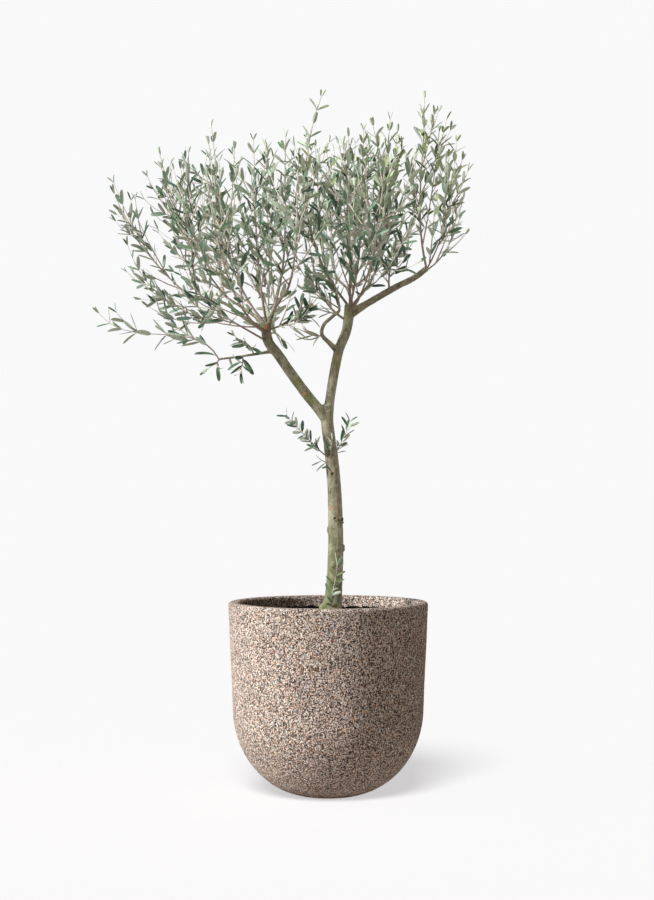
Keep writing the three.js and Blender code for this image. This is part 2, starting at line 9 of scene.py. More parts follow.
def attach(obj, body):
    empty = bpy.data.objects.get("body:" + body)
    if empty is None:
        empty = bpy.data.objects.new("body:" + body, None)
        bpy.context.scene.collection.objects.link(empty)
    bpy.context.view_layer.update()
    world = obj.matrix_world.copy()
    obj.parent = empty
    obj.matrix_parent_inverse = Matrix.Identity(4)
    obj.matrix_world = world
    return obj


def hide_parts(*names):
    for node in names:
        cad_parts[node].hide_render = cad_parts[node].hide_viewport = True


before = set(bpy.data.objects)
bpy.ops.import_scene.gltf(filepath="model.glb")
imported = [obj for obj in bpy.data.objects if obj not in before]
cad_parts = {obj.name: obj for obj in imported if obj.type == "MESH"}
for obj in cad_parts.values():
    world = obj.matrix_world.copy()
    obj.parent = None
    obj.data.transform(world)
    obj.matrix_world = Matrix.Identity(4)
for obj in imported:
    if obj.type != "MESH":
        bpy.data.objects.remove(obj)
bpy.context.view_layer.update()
mm = 0.001  # the tables below are in millimetres
up = np.array([0.0, 0.0, 1.0])
print("frame loaded")


# Small helpers for shapes

def newObject(name, data):
    data.name = name
    thing = bpy.data.objects.new(name, data)
    bpy.context.scene.collection.objects.link(thing)
    return thing


def unit(vector):
    return vector / max(np.linalg.norm(vector), 1e-9)


def mix(low, high, share):
    return low + (high - low) * share


def makeDraw(seed):  # a repeatable stream of numbers between two limits
    modulus = 4294967296
    state = [(seed * 2654435761 + 12345) % modulus]

    def draw(low, high):
        state[0] = (state[0] * 1664525 + 1013904223) % modulus
        return low + (high - low) * state[0] / modulus

    for _ in range(3):
        draw(0, 1)
    return draw


def addPiece(name, mesh, materials, nodes):
    piece = newObject(name, mesh)
    for material in materials:
        mesh.materials.append(material)
    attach(piece, "root")
    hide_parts(*nodes)


def meshFromBmesh(shape, smooth=True):
    mesh = bpy.data.meshes.new("mesh")
    shape.to_mesh(mesh)
    shape.free()
    if smooth:
        mesh.shade_smooth()
    return mesh


def arraysFromBmesh(shape):  # its corners, and its faces as lists of corner numbers
    corners = np.array([vertex.co[:] for vertex in shape.verts])
    return corners, [[vertex.index for vertex in face.verts] for face in shape.faces]


def meshFromArrays(corners, faces, slots=None):
    mesh = bpy.data.meshes.new("mesh")
    mesh.from_pydata(corners.tolist(), [], faces)
    if slots is not None:
        mesh.polygons.foreach_set("material_index", np.asarray(slots, dtype=np.int32))
    mesh.update()
    return mesh


def spreadOut(points, count=None, spacing=None):  # a path's points, evenly spaced by count or by spacing
    lengths = np.concatenate([[0], np.cumsum(np.linalg.norm(np.diff(points, axis=0), axis=1))])
    count = count or max(2, int(round(lengths[-1] / spacing)))
    places = np.linspace(0, lengths[-1], count + 1)
    return np.stack([np.interp(places, lengths, column) for column in points.T], axis=1)


def meshFromCopies(copies, faces, slots=None):  # one mesh of many shapes that have the same faces
    size = len(copies[0])
    allFaces = [[corner + index * size for corner in face] for index in range(len(copies)) for face in faces]
    return meshFromArrays(np.concatenate(copies) * mm, allFaces, slots)


# Camera, level, as far off and as high as the photograph was taken from
view = {"distance": 4490, "height": 738.9, "side": -2.6, "focal": 83.48, "sensor": 36}


def addCamera():
    data = bpy.data.cameras.new("viewCamera")
    data.sensor_width = view["sensor"]
    data.lens = view["focal"]
    camera = newObject("viewCamera", data)
    camera.location = (view["side"] * mm, -view["distance"] * mm, view["height"] * mm)
    camera.rotation_euler = (math.radians(90), 0, 0)
    bpy.context.scene.camera = camera


addCamera()
print("camera placed")


# Small helpers for materials

def fromBytes(color):  # a screen colour as the linear one, with alpha, that shaders take
    return (*(((value / 255 + 0.055) / 1.055) ** 2.4 for value in color), 1)


class Graph:
    # a material's or a group's nodes, added and linked in one go; colours are given as bytes
    def __init__(self, tree):
        self.tree = tree

    def fill(self, node, inputs):  # each input takes a value or a link
        for key, value in inputs.items():
            if isinstance(value, bpy.types.NodeSocket):
                self.tree.links.new(value, node.inputs[key])
            else:
                node.inputs[key].default_value = value
        return node

    def add(self, kind, inputs=None, **settings):
        node = self.tree.nodes.new(kind)
        for key, value in settings.items():
            setattr(node, key, value)
        return self.fill(node, inputs or {})

    def place(self):
        return self.add("ShaderNodeTexCoord").outputs["Object"]

    def ramp(self, factor, stops, interpolation="LINEAR"):
        node = self.add("ShaderNodeValToRGB", {"Fac": factor})
        ramp = node.color_ramp
        ramp.interpolation = interpolation
        while len(ramp.elements) < len(stops):
            ramp.elements.new(1)
        for element, (share, color) in zip(ramp.elements, stops):
            element.position = share
            element.color = fromBytes(color)
        return node.outputs["Color"]

    def cloud(self, place, scale, detail, roughness=0.5, output="Fac"):
        return self.add("ShaderNodeTexNoise", {
            "Vector": place, "Scale": scale, "Detail": detail, "Roughness": roughness}).outputs[output]

    def span(self, value, low, high, atLow, atHigh):
        node = self.add("ShaderNodeMapRange", {"Value": value, 1: low, 2: high, 3: atLow, 4: atHigh})
        return node.outputs[0]

    def math(self, operation, first, second):
        return self.add("ShaderNodeMath", {0: first, 1: second}, operation=operation).outputs[0]

    def blend(self, factor, first, second, mode="MIX"):
        first, second = (value if isinstance(value, bpy.types.NodeSocket) else fromBytes(value)
                         for value in (first, second))
        return self.add("ShaderNodeMix", {"Factor": factor, 6: first, 7: second},
                        data_type="RGBA", blend_type=mode).outputs[2]

    def stain(self, name, share=1):  # a mesh attribute as a factor
        fac = self.add("ShaderNodeAttribute", attribute_name=name).outputs["Fac"]
        return self.math("MULTIPLY", fac, share)


def newMaterial(name):
    material = bpy.data.materials.new(name)
    material.use_nodes = True
    graph = Graph(material.node_tree)
    shader = material.node_tree.nodes["Principled BSDF"]
    return material, graph, shader


def makeBlotchGroup():  # slow changes of tone over a surface, shared by stone, bark and compost
    group = bpy.data.node_groups.new("slowBlotches", "ShaderNodeTree")
    face = group.interface
    for name, kind in (("Place", "Vector"), ("Size", "Float"), ("Amount", "Float")):
        face.new_socket(name, in_out="INPUT", socket_type="NodeSocket" + kind)
    face.new_socket("Tone", in_out="OUTPUT", socket_type="NodeSocketColor")
    graph = Graph(group)
    entry = graph.add("NodeGroupInput")
    leave = graph.add("NodeGroupOutput")
    cloud = graph.cloud(entry.outputs["Place"], entry.outputs["Size"], 3.0, 0.55)
    swing = graph.math("SUBTRACT", cloud, 0.5)
    scaled = graph.math("MULTIPLY", swing, entry.outputs["Amount"])
    tone = graph.math("ADD", scaled, 1.0)
    color = graph.add("ShaderNodeCombineColor", {0: tone, 1: tone, 2: tone})
    graph.fill(leave, {"Tone": color.outputs[0]})
    return group


blotchGroup = makeBlotchGroup()


# blotches are their size and strength; relief is a height with the strength and depth of its bump
def finishSurface(graph, shader, place, color, blotches, roughness, specular, relief):
    size, amount = blotches
    height, strength, depth = relief
    tone = graph.add("ShaderNodeGroup", node_tree=blotchGroup)
    graph.fill(tone, {"Place": place, "Size": size, "Amount": amount})
    color = graph.blend(1, color, tone.outputs["Tone"], "MULTIPLY")
    bump = graph.add("ShaderNodeBump", {"Strength": strength, "Distance": depth * mm, "Height": height})
    graph.fill(shader, {"Base Color": color, "Roughness": roughness, "Specular IOR Level": specular,
                        "Normal": bump.outputs[0]})


# Pot: washed aggregate, with a slightly tapered wall over an elliptical bowl

pot = {
    "height": 413, "rimRadius": 215, "wallFootRadius": 205, "bowlHeight": 184, "bowlCentre": 36,
    "bowlDrop": 187, "wall": 25, "rimRounding": 7, "turnSteps": 470, "wallSpacing": 3.3, "innerSpacing": 10,
    "reliefHeight": 0.5, "reliefSize": 4.2, "reliefFoot": 0.4, "reliefSink": 0.4, "waveHeight": 0.5,
    "waveSize": 70,
}


def bowlArc(reach, drop, startHeight, steps=60):
    lowest = math.asin(min(startHeight / drop, 1))
    angles = np.linspace(lowest, 0, steps + 1)
    return np.stack([pot["bowlCentre"] + reach * np.cos(angles),
                     pot["bowlHeight"] - drop * np.sin(angles)], axis=1)


def quarterTurn(centre, radius, start, steps=6):
    angles = np.radians(np.linspace(start, start + 90, steps + 1))
    return np.stack([centre[0] + radius * np.cos(angles), centre[1] + radius * np.sin(angles)], axis=1)


def potOutline():
    rounding = pot["rimRounding"]
    reach = pot["wallFootRadius"] - pot["bowlCentre"]
    rimInner = pot["rimRadius"] - pot["wall"]
    outerBowl = bowlArc(reach, pot["bowlDrop"], pot["bowlHeight"])
    innerBowl = bowlArc(reach - pot["wall"], pot["bowlDrop"] - pot["wall"], pot["bowlHeight"] - pot["wall"])
    top = pot["height"] - rounding
    outside = np.concatenate([outerBowl, [[pot["rimRadius"], top]]])
    inside = np.concatenate([[[rimInner, top]], innerBowl[::-1]])
    footStep = outerBowl[:1] * [1, 0]
    return np.concatenate([
        [[0, 0]],
        footStep * 0.5,
        spreadOut(outside, spacing=pot["wallSpacing"])[:-1],
        quarterTurn((pot["rimRadius"] - rounding, top), rounding, 0),
        quarterTurn((rimInner + rounding, top), rounding, 90),
        spreadOut(inside, spacing=pot["innerSpacing"])[1:],
        [[0, pot["wall"]]],
    ])


def turnedShape(points, steps):  # a closed shape, turned from an outline of radii and heights
    shape = bmesh.new()
    outline = [shape.verts.new((radius * mm, 0, height * mm)) for radius, height in points]
    edges = [shape.edges.new(pair) for pair in zip(outline, outline[1:])]
    bmesh.ops.spin(shape, geom=outline + edges, cent=(0, 0, 0), axis=(0, 0, 1), angle=math.tau,
                   steps=steps, use_merge=True, use_duplicate=False)
    bmesh.ops.remove_doubles(shape, verts=shape.verts, dist=0.02 * mm)
    bmesh.ops.recalc_face_normals(shape, faces=shape.faces)
    shape.normal_update()
    return shape


def makePotMesh():
    shape = turnedShape(potOutline(), pot["turnSteps"])
    relief = 1 / (pot["reliefSize"] * mm)
    wave = 1 / (pot["waveSize"] * mm)
    for vertex in shape.verts:
        if vertex.co.z < pot["reliefFoot"] * mm:
            continue
        lump = noise.noise(vertex.co * relief) * pot["reliefHeight"]
        swell = noise.noise(vertex.co * wave) * pot["waveHeight"]
        vertex.co += vertex.normal * ((lump + swell - pot["reliefSink"]) * mm)
    return meshFromBmesh(shape)


aggregate = {
    "grainSize": 2.6, "fineSize": 1.4, "sliverSize": 2.1, "sliverStretch": 0.25, "sliverTurns": (62, -74),
    "sliverShare": 0.8, "sandShare": 0.55, "pitSize": 2.9, "relief": 1.6, "warpSize": 6, "warpReach": 5,
    "stones": [
        (0, (154, 131, 118)), (0.1, (241, 219, 201)), (0.26, (230, 201, 179)), (0.4, (245, 238, 224)),
        (0.54, (232, 217, 214)), (0.66, (247, 219, 193)), (0.78, (246, 241, 235)), (0.88, (180, 166, 167)),
        (0.94, (232, 167, 118)), (0.98, (163, 92, 73))],
    "sand": [(0, (186, 165, 154)), (0.25, (244, 221, 204)), (0.5, (247, 231, 214)), (0.8, (213, 197, 188))],
    "slivers": [
        (0, (248, 246, 233)), (0.3, (240, 215, 197)), (0.5, (245, 230, 212)), (0.7, (203, 201, 211)),
        (0.86, (236, 161, 106)), (0.94, (128, 112, 107))],
    # the gap and pit colours are painted shade: dark in the crevices between grains and in the pits
    "gapShade": (58, 45, 37), "pitShade": (13, 10, 9), "blotches": (9, 0.25),
    "gapEdge": (0.4, 0.62), "gapShare": 0.92, "pitEdge": (0.388, 0.428), "sliverEdge": 0.42,
    "fineRise": 0.35, "sliverRise": 0.35, "pitDepth": 0.9,
}


def voronoiCells(graph, place, size):  # distance to a cell's middle, and two random numbers for the cell
    cells = graph.add("ShaderNodeTexVoronoi", {"Vector": place, "Scale": 1 / (size * mm)})
    pick = graph.add("ShaderNodeSeparateColor", {0: cells.outputs["Color"]})
    return cells.outputs["Distance"], pick.outputs[0], pick.outputs[1]


def makeAggregate():
    material, graph, shader = newMaterial("washedAggregate")
    place = graph.place()
    warp = graph.cloud(place, 1 / (aggregate["warpSize"] * mm), 1, output="Color")
    push = graph.add("ShaderNodeVectorMath", {0: warp, 1: (0.5, 0.5, 0.5)}, operation="SUBTRACT")
    reach = aggregate["warpReach"] * mm
    pushed = graph.add("ShaderNodeVectorMath", {0: push.outputs[0], 3: reach}, operation="SCALE")
    bent = graph.add("ShaderNodeVectorMath", {0: place, 1: pushed.outputs[0]}, operation="ADD").outputs[0]
    reach, pick, second = voronoiCells(graph, bent, aggregate["grainSize"])
    fineReach, finePick, _ = voronoiCells(graph, bent, aggregate["fineSize"])
    stones = graph.ramp(pick, aggregate["stones"], "CONSTANT")
    sand = graph.ramp(finePick, aggregate["sand"], "CONSTANT")
    isSand = graph.math("GREATER_THAN", second, aggregate["sandShare"])
    color = graph.blend(isSand, stones, sand)
    # gaps between grains: sunk a little and darkened, painted shade in the crevices
    gap = graph.span(reach, *aggregate["gapEdge"], 0, aggregate["gapShare"])
    color = graph.blend(gap, color, aggregate["gapShade"])
    fine = graph.math("MULTIPLY", fineReach, -aggregate["fineRise"])
    height = graph.math("ADD", graph.math("MULTIPLY", reach, -1), fine)
    for turn in aggregate["sliverTurns"]:
        mapped = graph.add("ShaderNodeMapping", {
            "Vector": bent, "Rotation": (0, math.radians(turn), math.radians(turn / 2)),
            "Scale": (1, 1, aggregate["sliverStretch"])}).outputs[0]
        sliverReach, sliverPick, chosen = voronoiCells(graph, mapped, aggregate["sliverSize"])
        near = graph.math("LESS_THAN", sliverReach, aggregate["sliverEdge"])
        isSliver = graph.math("MULTIPLY", near, graph.math("GREATER_THAN", chosen, aggregate["sliverShare"]))
        slivers = graph.ramp(sliverPick, aggregate["slivers"], "CONSTANT")
        color = graph.blend(isSliver, color, slivers)
        height = graph.math("ADD", height, graph.math("MULTIPLY", isSliver, aggregate["sliverRise"]))
    pits = graph.cloud(bent, 1 / (aggregate["pitSize"] * mm), 1.5, 0.6)
    pits = graph.span(pits, *aggregate["pitEdge"], 1, 0)
    # pits: sunk and painted near black, painted shade inside the pits
    color = graph.blend(pits, color, aggregate["pitShade"])
    height = graph.math("ADD", height, graph.math("MULTIPLY", pits, -aggregate["pitDepth"]))
    relief = (height, 1, aggregate["relief"])
    finishSurface(graph, shader, place, color, aggregate["blotches"], 0.8, 0.3, relief)
    return material


addPiece("potShell", makePotMesh(), [makeAggregate()], ["pot"])
print("pot made")


# Soil: compost, chips of bark and pale grit; compost and chips near black, dark soil with painted shade

soil = {
    "top": 390, "edgeDip": 2, "room": 1.5, "depth": 40, "turnSteps": 150, "rings": 60, "lumpHeight": 2.2,
    "lumpSize": 14, "crumbHeight": 1.3, "crumbSize": 4, "calmRadius": 40, "calmFade": 30, "calmShare": 0.25,
    "chips": 420, "chipSize": (3, 11), "chipFlatness": (0.16, 0.34), "looseRoom": 12,
    "grit": 60, "gritSize": (1.2, 2.6), "gritFlatness": (0.5, 0.9),
}


def soilLift(x, y):  # height of the soil above its flat top, at a place in millimetres
    radius = math.hypot(x, y)
    edge = pot["rimRadius"] - pot["wall"]
    lump = noise.noise(Vector((x, y, 0)) / soil["lumpSize"]) * soil["lumpHeight"]
    crumb = noise.noise(Vector((x, y, 7)) / soil["crumbSize"]) * soil["crumbHeight"]
    fade = min(1, max(0, (radius - soil["calmRadius"]) / soil["calmFade"]))
    return (lump + crumb) * mix(soil["calmShare"], 1, fade) - soil["edgeDip"] * (radius / edge) ** 4


def makeSoilMesh():
    edge = pot["rimRadius"] - pot["wall"] - soil["room"]
    points = [(edge * step / soil["rings"], soil["top"]) for step in range(soil["rings"] + 1)]
    points += [(edge - 1, soil["top"] - soil["depth"]), (0, soil["top"] - soil["depth"])]
    shape = turnedShape(points, soil["turnSteps"])
    for vertex in shape.verts:
        if vertex.co.z > (soil["top"] - 1) * mm:
            vertex.co.z += soilLift(vertex.co.x / mm, vertex.co.y / mm) * mm
    return meshFromBmesh(shape)


def lumpTemplate():
    shape = bmesh.new()
    bmesh.ops.create_icosphere(shape, subdivisions=1, radius=1)
    corners, faces = arraysFromBmesh(shape)
    shape.free()
    return corners, faces


def scatterLumps(count, sizes, flatness, seed):
    draw = makeDraw(seed)
    template, faces = lumpTemplate()
    edge = pot["rimRadius"] - pot["wall"] - soil["looseRoom"]
    lumps = []
    for index in range(count):
        radius = edge * math.sqrt(draw(0.02, 1))
        angle = draw(0, math.tau)
        x, y = radius * math.cos(angle), radius * math.sin(angle)
        size = draw(*sizes)
        scale = np.array([size * draw(0.5, 1), size * draw(0.3, 0.7), size * draw(*flatness)])
        rough = 1 + 0.25 * np.array([noise.noise(Vector(corner) * 1.7 + Vector((index * 3.1, 0, 0)))
                                     for corner in template])
        turn = np.array(Matrix.Rotation(draw(0, math.tau), 3, "Z") @ Matrix.Rotation(draw(-0.5, 0.5), 3, "X"))
        shaped = (template * rough[:, None] * scale) @ turn.T
        shaped += [x, y, soil["top"] + soilLift(x, y) + scale[2] * 0.35]
        lumps.append(shaped)
    return meshFromCopies(lumps, faces)


compost = {"scale": 420, "blotches": (40, 0.9), "bumpStrength": 0.8, "bumpDepth": 0.6}


def makeCompost(name, dark, pale, roughness):
    material, graph, shader = newMaterial(name)
    place = graph.place()
    crumbs = graph.cloud(place, compost["scale"], 4, 0.7)
    color = graph.ramp(crumbs, [(0.32, dark), (0.68, pale)])
    finishSurface(graph, shader, place, color, compost["blotches"], roughness, 0,
                  (crumbs, compost["bumpStrength"], compost["bumpDepth"]))
    return material


# compost and bark chips are darker than their own tone, near black: painted shade inside the pot
soilBed = makeCompost("compost", (3, 3, 3), (11, 9, 8), 0.9)
barkChip = makeCompost("barkChip", (6, 5, 4), (26, 21, 17), 0.8)
pumice = makeCompost("pumiceGrit", (120, 112, 104), (190, 184, 174), 0.85)
addPiece("soilBed", makeSoilMesh(), [soilBed], ["soil"])
chips = scatterLumps(soil["chips"], soil["chipSize"], soil["chipFlatness"], 5)
addPiece("barkChips", chips, [barkChip], ["soil"])
grit = scatterLumps(soil["grit"], soil["gritSize"], soil["gritFlatness"], 9)
addPiece("soilGrit", grit, [pumice], ["soil"])
print("soil made")


# Limbs: the radius at foot and tip, and the points that each centre line passes through

limbTable = {
    "trunk": ((18.6, 13), [(9, 0, 378), (16, 2, 520), (14, 0, 640), (7, -2, 725), (-2, 0, 800),
        (0, 0, 836)]),
    "left_bough": ((11.2, 10.8), [(1, 0, 798), (-28, -8, 836), (-47, -12, 859), (-88, -21, 915),
        (-110, -26, 947), (-127, -29, 968), (-132, -30, 988), (-132, -30, 1012)]),
    "right_bough": ((10.3, 11), [(0, 0, 806), (4, 2, 850), (15, 8, 916), (24, 12, 957), (40, 18, 999),
        (47, 22, 1054)]),
    "far_right_bough": ((8, 6.5), [(42, 19, 1030), (100, 12, 1064), (150, 4, 1092), (183, -1, 1108),
        (213, -5, 1130)]),
    "left_reach_branch": ((5, 3), [(-128, -29, 990), (-180, -28, 1022), (-207, -24, 1044),
        (-237, -20, 1059), (-297, -14, 1070)]),
    "left_back_branch": ((5, 3), [(-130, -29, 1001), (-162, 0, 1030), (-190, 35, 1050), (-222, 70, 1072)]),
    "low_left_branch": ((3.4, 2.8), [(-108, -24, 952), (-165, -38, 942), (-196, -44, 937),
        (-233, -50, 932)]),
    "inner_branch": ((5.2, 3.8), [(22, 10, 950), (4, 2, 968), (-14, -6, 988), (-9, -12, 1008),
        (8, -16, 1024), (24, -16, 1037)]),
    "back_branch": ((5, 3.4), [(45, 20, 1036), (50, 70, 1068), (40, 125, 1100)]),
    "front_branch": ((5, 3.4), [(-130, -29, 999), (-112, -85, 1040), (-85, -125, 1075)]),
}
limbSteps = 200
sampleStep = 8  # every eighth place on a limb is enough to keep the foliage off it


def between(first, second, start, end, way):  # from first at start to second at end
    return (end - way) / (end - start) * first + (way - start) / (end - start) * second


def smoothPath(points):  # evenly spaced places on a centripetal Catmull-Rom curve
    points = [np.array(point, dtype=float) for point in points]
    padded = [2 * points[0] - points[1], *points, 2 * points[-1] - points[-2]]
    dense = []
    for p0, p1, p2, p3 in zip(padded, padded[1:], padded[2:], padded[3:]):
        gaps = [math.sqrt(np.linalg.norm(b - a)) for a, b in ((p0, p1), (p1, p2), (p2, p3))]
        k0, k1, k2, k3 = np.cumsum([0] + gaps)
        for way in np.linspace(k1, k2, 41)[:-1]:
            middle = between(p1, p2, k1, k2, way)
            first = between(between(p0, p1, k0, k1, way), middle, k0, k2, way)
            second = between(middle, between(p2, p3, k2, k3, way), k1, k3, way)
            dense.append(between(first, second, k1, k2, way))
    return spreadOut(np.array(dense + [points[-1]]), limbSteps)


limbs = {name: {"radii": radii, "path": smoothPath(points)} for name, (radii, points) in limbTable.items()}
limbCentres = np.concatenate([limb["path"][::sampleStep] for limb in limbs.values()])
limbSamples = limbSteps // sampleStep + 1
limbGirths = np.concatenate([np.linspace(*limb["radii"], limbSamples) for limb in limbs.values()])


# Masses of foliage: each stem leaves a limb a share "at" along it, "off" its centre line, sets out
# along "heading" and bends up to "tip". It keeps within "spread" of the stem.

def massRow(limb, at, off, heading, tip, spread, upturn, bare, shoots, leafCrowd, **own):
    usual = {"leafScale": 1, "tipLeaf": 0.6, "unruly": 0, "fresh": False, "leader": 0.06, "lean": 0,
             "leafless": max(bare * 1.3, 0.2)}
    return {"limb": limb, "at": at, "off": off, "heading": heading, "tip": tip, "spread": spread,
            "upturn": upturn, "bare": bare, "shoots": shoots, "leafCrowd": leafCrowd, **usual, **own}


# a mass may have its own size and tip size of leaves, its own leafless share of stem, leaves that stand
# less even than the others, or the bright green of fresh growth
massTable = {
    "far_left_spray": massRow("low_left_branch", 1, (0, 0, 0.5), (-0.45, -0.05, 0.9), (-497, -46, 1042), 42,
        0.45, 0.1, 4, 1, leafScale=1.18, leafless=0.03),
    "low_left_foliage": massRow("low_left_branch", 0.42, (0, 0, 2), (-0.1, -0.6, 0.75), (-206, -84, 988),
        50, 0, 0.03, 9, 0.42, leafScale=1.15, leafless=0.06),
    "low_left_tuft": massRow("low_left_branch", 0.6, (0, 0, -1), (0.1, -0.75, -0.6), (-186, -92, 892), 42,
        0, 0.08, 5, 0.8, leafScale=1.15, leafless=0.1),
    "low_left_sprig": massRow("low_left_branch", 1, (0, -0.5, -1.5), (-0.3, -0.6, -0.7), (-264, -72, 903),
        30, 0, 0.08, 2, 0.6, leafScale=1.15, leafless=0.1),
    "left_sweep_foliage": massRow("left_reach_branch", 0.12, (0, 0, 0), (-0.95, 0.2, 0), (-437, 20, 1196),
        38, 0.7, 0.2, 10, 1),
    "left_far_foliage": massRow("left_reach_branch", 1, (0, 1, 0), (-0.8, 0.05, 0.6), (-464, -30, 1324), 40,
        0.35, 0.05, 12, 1.45),
    "left_crest_foliage": massRow("left_reach_branch", 0.92, (0, -1, 0), (-0.1, -0.5, 0.8),
        (-297, -70, 1382), 66, 0.3, 0.08, 12, 1.45),
    "left_high_foliage": massRow("left_back_branch", 1, (0, -1, 0), (-0.6, 0, 0.7), (-368, 30, 1390), 62,
        0.4, 0.05, 13, 1.6),
    "left_top_foliage": massRow("left_bough", 1, (-5.5, 3, 0), (-0.6, 0.25, 0.7), (-254, 10, 1451), 84, 0.5,
        0.08, 15, 1.15),
    "mid_left_foliage": massRow("left_bough", 1, (0, -6, 0), (-0.15, -0.5, 0.8), (-160, -50, 1414), 88, 0.5,
        0.08, 17, 0.9),
    "mid_high_foliage": massRow("left_bough", 1, (5, 4, 0), (0.3, 0.4, 0.8), (-92, 60, 1436), 85, 0.5, 0.08,
        14, 1),
    "mid_low_foliage": massRow("left_bough", 0.94, (6, -4, 0), (0.85, -0.35, 0.2), (-8, -84, 1082), 60,
        0.35, 0.12, 13, 0.62, leafless=0.15),
    "neck_sprig": massRow("left_bough", 0.9, (6, -6, 0), (0.95, -0.3, 0.5), (-72, -50, 960), 34, 0, 0.2, 0,
        0.42, leafScale=0.95, tipLeaf=1, leafless=0.3),
    "tallest_foliage": massRow("right_bough", 1, (-6, 0, 0), (-0.6, -0.3, 0.7), (-10, -10, 1512), 84, 0.6,
        0.08, 18, 1, leader=0.2, lean=0.4),
    "mid_right_foliage": massRow("right_bough", 1, (0, -6.5, 0), (0, -0.6, 0.75), (43, -80, 1416), 80, 0.5,
        0.05, 18, 1),
    "right_crest_foliage": massRow("right_bough", 1, (0.5, 6, 0), (0.2, 0.5, 0.75), (78, 60, 1452), 85, 0.5,
        0.05, 14, 1),
    "right_top_foliage": massRow("right_bough", 1, (6.5, 0, 0), (0.7, 0, 0.7), (134, -10, 1464), 80, 0.5,
        0.08, 15, 0.8),
    "right_tall_foliage": massRow("far_right_bough", 1, (-2, 3, 1), (-0.2, 0.35, 0.95), (208, 20, 1514), 70,
        0.4, 0.02, 14, 1),
    "right_low_foliage": massRow("far_right_bough", 0.52, (0, -1, 4), (-0.1, -0.5, 0.85), (150, -76, 1216),
        64, 0.4, 0.05, 12, 0.8),
    "right_outer_foliage": massRow("far_right_bough", 1, (0, -3.4, 0), (0.4, -0.5, 0.7), (276, -40, 1412),
        40, 0.5, 0.03, 11, 0.72),
    "right_edge_foliage": massRow("far_right_bough", 1, (2.2, 2.4, -2.2), (0.72, 0.25, 0.52),
        (284, 46, 1320), 28, 0.75, 0.06, 8, 1.35),
    "front_left_foliage": massRow("left_bough", 0.93, (-3, -3, 0), (-0.5, -0.9, 0.2), (-250, -225, 1310),
        100, 0.6, 0.12, 12, 1.35),
    "front_mid_foliage": massRow("front_branch", 1, (0, 0, 0), (0.2, -0.8, 0.4), (-60, -250, 1352), 98, 0.5,
        0.03, 12, 1.2),
    "front_right_foliage": massRow("right_bough", 0.93, (1, -4, 0), (0.3, -0.95, 0.25), (120, -220, 1370),
        104, 0.6, 0.12, 13, 1.25),
    "back_left_foliage": massRow("left_back_branch", 0.96, (0, 1, 0), (-0.3, 0.9, 0.3), (-250, 230, 1330),
        100, 0.5, 0.05, 11, 1.3),
    "back_mid_foliage": massRow("back_branch", 1, (-1.2, 0, 0), (-0.5, 0.8, 0.4), (12, 255, 1400), 100, 0.5,
        0.05, 11, 1.2),
    "back_right_foliage": massRow("back_branch", 0.93, (1, 0, 0), (0.9, 0.5, 0.3), (130, 225, 1390), 100,
        0.5, 0.05, 11, 1.2),
    "inner_low_foliage": massRow("inner_branch", 1, (0, 0, 0), (0, -0.6, 0.6), (-14, -95, 1180), 92, 0.5,
        0.02, 14, 0.6, leafless=0.05),
    "inner_high_foliage": massRow("right_bough", 0.86, (-3, -3, 0), (-0.8, -0.2, 0.4), (-45, 20, 1200), 78,
        0.5, 0.08, 12, 0.75),
    "inner_green_foliage": massRow("inner_branch", 0.42, (-1, -1, 0), (-0.9, -0.3, -0.1), (-84, -38, 1003),
        38, 0, 0.03, 5, 0.55, leafScale=1.1, leafless=0.04, tipLeaf=0.9, fresh=True),
    "low_front_foliage": massRow("left_bough", 0.84, (-3, -2, 0), (-0.75, -0.5, 0.45), (-305, -118, 1128),
        66, 0.5, 0.3, 10, 1),
    "low_back_foliage": massRow("left_bough", 0.9, (0, 3, 0), (0, 0.95, 0.2), (-130, 150, 1180), 95, 0.5,
        0.15, 11, 1.15),
    "left_trunk_sprout": massRow("trunk", 0.745, (-3, -8, 0), (-0.7, -0.5, 0.5), (-100, -40, 822), 38, 0,
        0.08, 0, 0.27, leafScale=0.74, tipLeaf=1, unruly=1),
    "right_trunk_sprout": massRow("trunk", 0.73, (-1, -9, 0), (0.35, -0.45, 0.8), (50, -36, 814), 34, 0.3,
        0.12, 0, 0.34, leafScale=0.78, tipLeaf=1, unruly=1),
    "front_trunk_sprout": massRow("trunk", 0.742, (1, -9, 0), (-0.35, -0.4, 0.8), (8, -34, 776), 32, 0.2,
        0.1, 0, 0.2, leafScale=0.62, leafless=0.1, tipLeaf=1, unruly=0.6),
    "low_trunk_sprig": massRow("trunk", 0.705, (0, 0, 0), (-0.6, -0.4, 0.6), (-36, -28, 740), 26, 0.2, 0.1,
        0, 0.22, leafScale=0.85, leafless=0.1, tipLeaf=1, unruly=1),
    "foot_sprout": massRow("trunk", 0.035, (0, 0, 0), (-0.3, -0.95, 0.3), (20, -48, 506), 30, 0.3, 0.12, 0,
        0.33, leafScale=0.8, tipLeaf=1, unruly=1, fresh=True),
}
growth = {
    "stemSteps": 14, "stemRadii": (2.9, 1.1), "stemHandle": 0.36, "fullSpread": 80, "leastSize": 0.6,
    "shootSteps": 8, "shootRadii": (1.7, 0.8), "shootShare": 0.6, "shootSpan": (0.7, 1.02), "shootExtra": 24,
    "shootSide": 0.72, "shootLift": 0.55, "shootReach": 1.12, "shootBare": 0.15, "lastShoot": 0.8,
    "twigSteps": 5, "twigRadii": (0.9, 0.5), "twigSpacing": 75, "twigSpan": (0.5, 0.9), "twigExtra": 18,
    "twigAngle": (28, 48), "twigLift": 0.45, "twigReach": 1.16, "twigBare": 0.2, "leastKept": 0.35,
    "leafLength": 36, "leafGap": 28, "leafSizes": (0.8, 1.12), "pairAngle": (30, 52),
    "tipPairAngle": (12, 28), "leafReach": 1.3, "freeReach": 4, "smallReach": 45, "tipLeafReach": 16,
    "goldenTurn": 2.399,
    "widest": 0.45, "footGirth": 0.55, "tipGirth": 0.45, "girthPower": 2.2,
}


